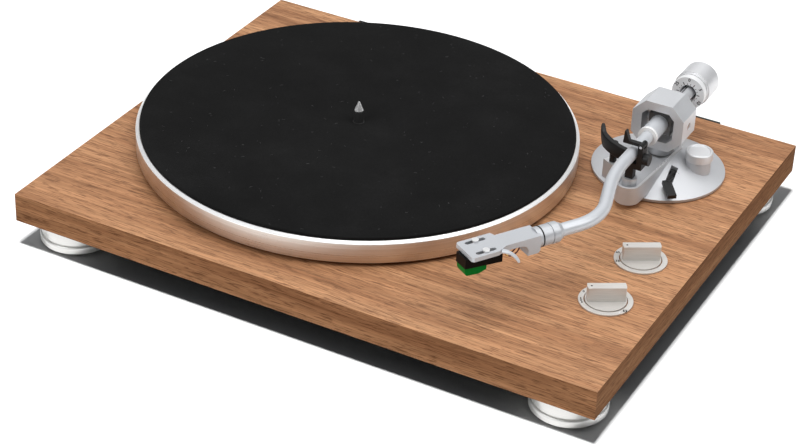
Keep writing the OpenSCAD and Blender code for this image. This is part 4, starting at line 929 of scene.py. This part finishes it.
def start_tree(name, **inputs):
    """A node group with a geometry output and an input of each kind that is named."""
    tree = bpy.data.node_groups.new(name, "GeometryNodeTree")
    tree.interface.new_socket("Geometry", in_out="OUTPUT", socket_type="NodeSocketGeometry")
    for label, kind in inputs.items():
        tree.interface.new_socket(label, in_out="INPUT", socket_type="NodeSocket" + kind)
    return tree, tree.nodes.new("NodeGroupInput").outputs


def end_tree(tree, spread, material):
    """Makes the instances real, gives them the material and puts them out."""
    real = add(tree, "GeometryNodeRealizeInstances", {0: spread.outputs[0]})
    dressed = add(tree, "GeometryNodeSetMaterial", {"Geometry": real.outputs[0], "Material": material})
    tree.links.new(dressed.outputs[0], tree.nodes.new("NodeGroupOutput").inputs[0])
    return tree


def ring_of_bars():
    tree, given = start_tree("ring_of_bars", Count="Int", Radius="Float", Bar="Vector", Material="Material")
    circle = add(tree, "GeometryNodeMeshCircle", {"Vertices": given["Count"], "Radius": given["Radius"]})
    bar = add(tree, "GeometryNodeMeshCube", {"Size": given["Bar"]})
    place = add(tree, "GeometryNodeInputPosition").outputs[0]
    outward = add(tree, "FunctionNodeAlignRotationToVector", {"Vector": place}, axis="X")
    spread = add(tree, "GeometryNodeInstanceOnPoints",
                 {"Points": circle.outputs[0], "Instance": bar.outputs[0], "Rotation": outward.outputs[0]})
    return end_tree(tree, spread, given["Material"])


def run_nodes(name, tree, **values):
    obj = new_object(name, bpy.data.meshes.new(name))
    made = obj.modifiers.new("nodes", "NODES")
    made.node_group = tree
    for item in tree.interface.items_tree:
        if item.in_out == "INPUT":
            made[item.identifier] = values[item.name]
    return bake(obj)


def figures(text, size):
    curve = bpy.data.curves.new("figure", "FONT")
    curve.body = text
    curve.size = size * MM
    curve.align_x = "CENTER"
    curve.align_y = "CENTER"
    curve.extrude = INK_T / 2 * MM
    curve.offset = FIGURE_SPREAD * MM
    holder = new_object("figure", curve)
    mesh = finished_mesh(holder)
    bpy.data.objects.remove(holder)
    return mesh


def bar_mesh(width, height):
    work = bmesh.new()
    bmesh.ops.create_cube(work, size=1.0)
    bmesh.ops.scale(work, vec=(width * MM, height * MM, INK_T * MM), verts=work.verts)
    mesh = bpy.data.meshes.new("bar")
    work.to_mesh(mesh)
    work.free()
    return mesh


def join_meshes(name, placed, material):
    work = bmesh.new()
    for mesh, matrix in placed:
        mesh.transform(matrix)
        work.from_mesh(mesh)
        bpy.data.meshes.remove(mesh)
    joined = bpy.data.meshes.new(name)
    work.to_mesh(joined)
    work.free()
    joined.materials.append(material)
    for face in joined.polygons:
        face.material_index = 0
    return new_object(name, joined)


print("printing tools ready")

# %% [markdown]
# ## Marks on the force dial
# The dial's face looks to the front, so marks laid out flat are stood upright on it.

# %%
TICKS = (("dial_ticks_fine", 18, 6.9, 0.9, 0.32), ("dial_ticks_bold", 6, 7.4, 2.2, 0.5))
DIAL_FIGURES = ("0", "5", "10", "15", "20", "25")
DIAL_FIGURE_SIZE, DIAL_FIGURE_R = 3.3, 10.0

dial_face = Vector((pivot.x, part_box("force_dial")[0].y, arm_z))
upright = Matrix.Translation(dial_face) @ Matrix.Rotation(math.radians(90), 4, "X")
bars_tree = ring_of_bars()
prints = []
for name, count, radius, length, width in TICKS:
    ticks = run_nodes(name, bars_tree, Count=count, Radius=radius * MM,
                      Bar=(length * MM, width * MM, INK_T * MM), Material=ink)
    ticks.data.transform(upright)
    prints.append(ticks)
placed = []
for k, text in enumerate(DIAL_FIGURES):
    turn = Matrix.Rotation(-2 * math.pi * k / len(DIAL_FIGURES), 4, "Z")
    outward = Matrix.Translation((0, DIAL_FIGURE_R * MM, 0))
    placed.append((figures(text, DIAL_FIGURE_SIZE), upright @ turn @ outward))
prints.append(join_meshes("dial_figures", placed, ink))
for obj in prints:
    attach(obj, body_of["force_dial"])
print("dial:", len(prints), "sets of marks")

# %% [markdown]
# ## Marks on the bezels and the stub
# Each bezel has a few plain figures and bars round its knob, by angle. The front one also has a small
# open square and a bright tick, which is a painted highlight. A line along the rear stub is what the dial
# is read against.

# %%
MARKS_R, SQUARE_R = 15.6, 16.3
SQUARE_HALF, SQUARE_LONG, SQUARE_LINE = 0.9, 2.4, 0.6
MARKS_TURN_DEG, SQUARE_DEG, TICK_DEG = 27, 341, 327
INDEX_W, INDEX_OVERLAP, INDEX_DEG = 0.8, 2, -18
bezel_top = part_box("knob_bezels")[1].z


def on_bezel(knob, degrees, radius=MARKS_R):
    turn = math.radians(degrees)
    spot = centre(knob) + Vector((radius * MM * math.cos(turn), radius * MM * math.sin(turn), 0))
    facing = Matrix.Rotation(math.radians(MARKS_TURN_DEG), 4, "Z")
    return Matrix.Translation((spot.x, spot.y, bezel_top)) @ facing


marks = [(figures(text, 2.9), on_bezel("speed_knob", d)) for text, d in (("33", 222), ("45", 184))]
marks.append((figures("0", 2.8), on_bezel("start_knob", 176)))
marks += [(bar_mesh(0.7, 1.8), on_bezel("start_knob", degrees)) for degrees in (206, 214, 222)]
square_at = on_bezel("start_knob", SQUARE_DEG, SQUARE_R)
for side in (SQUARE_HALF * MM, -SQUARE_HALF * MM):
    marks.append((bar_mesh(SQUARE_LONG, SQUARE_LINE), square_at @ Matrix.Translation((0, side, 0))))
    marks.append((bar_mesh(SQUARE_LINE, SQUARE_LONG), square_at @ Matrix.Translation((side, 0, 0))))
bezel_marks = join_meshes("bezel_marks", marks, ink)
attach(bezel_marks, body_of["knob_bezels"])
# The bright tick is a painted highlight.
tick = (bar_mesh(0.45, 2.0), on_bezel("start_knob", TICK_DEG))
bezel_tick = join_meshes("bezel_tick", [tick], white_painted_highlight)
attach(bezel_tick, body_of["knob_bezels"])

stub_low, stub_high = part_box("rear_stub")
yoke_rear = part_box("gimbal_yoke")[1].y
index_at = Matrix.Translation((pivot.x, (dial_face.y + yoke_rear) / 2, arm_z))
index_at = index_at @ Matrix.Rotation(math.radians(INDEX_DEG), 4, "Y")
index_at = index_at @ Matrix.Translation((0, 0, (stub_high.x - stub_low.x) / 2))
index_long = (dial_face.y - yoke_rear) / MM + INDEX_OVERLAP
index_line = join_meshes("index_line", [(bar_mesh(INDEX_W, index_long), index_at)], ink)
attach(index_line, body_of["rear_stub"])
print("bezels:", len(marks) + 1, "marks, index line", round(index_long, 1), "mm long")

# %% [markdown]
# ## Lint
# Felt sheds. A few pale fibres are scattered on the mat: points on its top, a short bent hair on each,
# turned at random with a fixed seed.

# %%
HAIR = {
    "Start": (0, 0, 0.05), "Start Handle": (0.4, 0.3, 0.12),
    "End Handle": (0.8, -0.3, 0.12), "End": (1.3, 0.1, 0.05),
}
HAIR_R = 0.035
LINT_PER_SQUARE_METRE = 3600.0
LINT_EDGE = 2


def lint_tree():
    tree, given = start_tree("lint", Outer="Float", Density="Float", Material="Material")
    disc = add(tree, "GeometryNodeMeshCircle", {"Vertices": 64, "Radius": given["Outer"]}, fill_type="NGON")
    points = add(tree, "GeometryNodeDistributePointsOnFaces",
                 {"Mesh": disc.outputs[0], "Density": given["Density"], "Seed": 7})
    hair = add(tree, "GeometryNodeCurvePrimitiveBezierSegment", {"Resolution": 5})
    for name, place in HAIR.items():
        hair.inputs[name].default_value = [c * MM for c in place]
    thread = add(tree, "GeometryNodeCurvePrimitiveCircle", {"Resolution": 4, "Radius": HAIR_R * MM})
    fibre = add(tree, "GeometryNodeCurveToMesh",
                {"Curve": hair.outputs[0], "Profile Curve": thread.outputs[0], "Fill Caps": True})
    spin = add(tree, "FunctionNodeRandomValue", {"Max": (0, 0, 6.283), "Seed": 3}, data_type="FLOAT_VECTOR")
    size = add(tree, "FunctionNodeRandomValue", {2: 0.5, 3: 1.6, "Seed": 4}, data_type="FLOAT")
    spread = add(tree, "GeometryNodeInstanceOnPoints",
                 {"Points": points.outputs[0], "Instance": fibre.outputs[0], "Rotation": spin.outputs[0],
                  "Scale": size.outputs[1]})
    return end_tree(tree, spread, given["Material"])


lint_look = plastic("lint_fibre", grey(0.16), 0.9, scale=2000.0, contrast=0.5)
lint = run_nodes("mat_lint", lint_tree(), Outer=(mat_r - LINT_EDGE) * MM, Density=LINT_PER_SQUARE_METRE,
                 Material=lint_look)
lint.data.transform(Matrix.Translation((spindle.x, spindle.y, deck_z + mat_top * MM)))
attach(lint, body_of["slip_mat"])
print("lint:", len(lint.data.polygons), "faces")

# %% [markdown]
# ## Floor and lamps
# A pale floor, a wide soft lamp overhead, one from the left front, one from the right, and a wide dim
# one behind that the bright tops mirror. These skip the floor, which has a high lamp of its own, so
# that the plinth's shadow stays deep and sharp. Each row has the lamp's name, its place and the height
# it aims at in metres, its size, its watts, and whether it lights the floor alone or all but the floor.

# %%
FLOOR_HALF = 6.0
LAMPS = (
    ("key", (0.15, 0.1, 1.6), 0.04, (1.6, 1.4), 21, "EXCLUDE"),
    ("front", (-0.6, -1.4, 1.2), 0.04, (1.2, 1.0), 14, "EXCLUDE"),
    ("side", (1.3, 0.3, 1.2), 0.04, (0.9, 0.9), 8, "EXCLUDE"),
    ("rim", (-0.9, 1.9, 1.2), 0.05, (2.2, 1.2), 4, "EXCLUDE"),
    ("floor_light", (0.1, -1.1, 6.0), 0.0, (0.7, 0.7), 520, "INCLUDE"),
)

floor_mesh = bpy.data.meshes.new("floor")
floor_corners = [(x * FLOOR_HALF, y * FLOOR_HALF, 0) for x, y in ((-1, -1), (1, -1), (1, 1), (-1, 1))]
floor_mesh.from_pydata(floor_corners, [], [(0, 1, 2, 3)])
floor = new_object("floor", floor_mesh)
floor_look, tree, surface = shader("floor_paper")
floor_xyz, _ = object_coords(tree)
paper = ramp(tree, noise(tree, floor_xyz, 3.0, 2.0), (0.3, grey(0.90)), (0.7, grey(0.94)))
tree.links.new(paper, surface.inputs["Base Color"])
surface.inputs["Roughness"].default_value = 0.9
surface.inputs["Specular IOR Level"].default_value = 0.1
floor_mesh.materials.append(floor_look)


def soft_lamp(name, at, aim, size, watts):
    data = bpy.data.lights.new(name, "AREA")
    data.shape = "RECTANGLE"
    data.size, data.size_y = size
    data.energy = watts
    lamp = new_object(name, data)
    lamp.location = at
    lamp.rotation_euler = (Vector(aim) - Vector(at)).to_track_quat("-Z", "Y").to_euler()
    return lamp


def link_floor(lamp, state):
    """The lamp lights the floor alone (INCLUDE) or all but the floor (EXCLUDE)."""
    receivers = bpy.data.collections.new(lamp.name + "_receivers")
    receivers.objects.link(floor)
    lamp.light_linking.receiver_collection = receivers
    receivers.collection_objects[0].light_linking.link_state = state


for name, at, aim_z, size, watts, state in LAMPS:
    link_floor(soft_lamp(name, at, (0, 0, aim_z), size, watts), state)
print("lamps:", len(LAMPS))

# %% [markdown]
# ## Sky
# The sky glows overhead and is dark near the horizon and toward the camera, so that upright faces
# keep their shade. The camera itself sees white beyond the floor.

# %%
TOWARD_CAMERA = (0.6, -0.8, 0)
world = bpy.data.worlds.new("studio")
bpy.context.scene.world = world
world.use_nodes = True
tree = world.node_tree
direction = add(tree, "ShaderNodeTexCoord").outputs["Generated"]
height = split(tree, direction)[2]
glow = ramp(tree, height, (0.0, grey(0.0)), (0.3, grey(0.06)), (0.65, grey(0.40)))
ahead = vector_node(tree, "DOT_PRODUCT", direction, TOWARD_CAMERA, "Value")
dimmed = ramp(tree, multiply_add(tree, ahead, 0.5, 0.5), (0.35, grey(1.0)), (0.68, grey(0.12)))
strength = math_node(tree, "MULTIPLY", glow, dimmed)
light = add(tree, "ShaderNodeBackground", {"Color": (0.95, 0.97, 1, 1), "Strength": strength})
white = add(tree, "ShaderNodeBackground", {"Color": (1, 1, 1, 1), "Strength": 1.0})
camera_ray = add(tree, "ShaderNodeLightPath").outputs["Is Camera Ray"]
both = add(tree, "ShaderNodeMixShader", {0: camera_ray, 1: light.outputs[0], 2: white.outputs[0]})
tree.links.new(both.outputs[0], tree.nodes["World Output"].inputs[0])
bpy.context.scene.view_settings.view_transform = "Standard"
print("stage set")
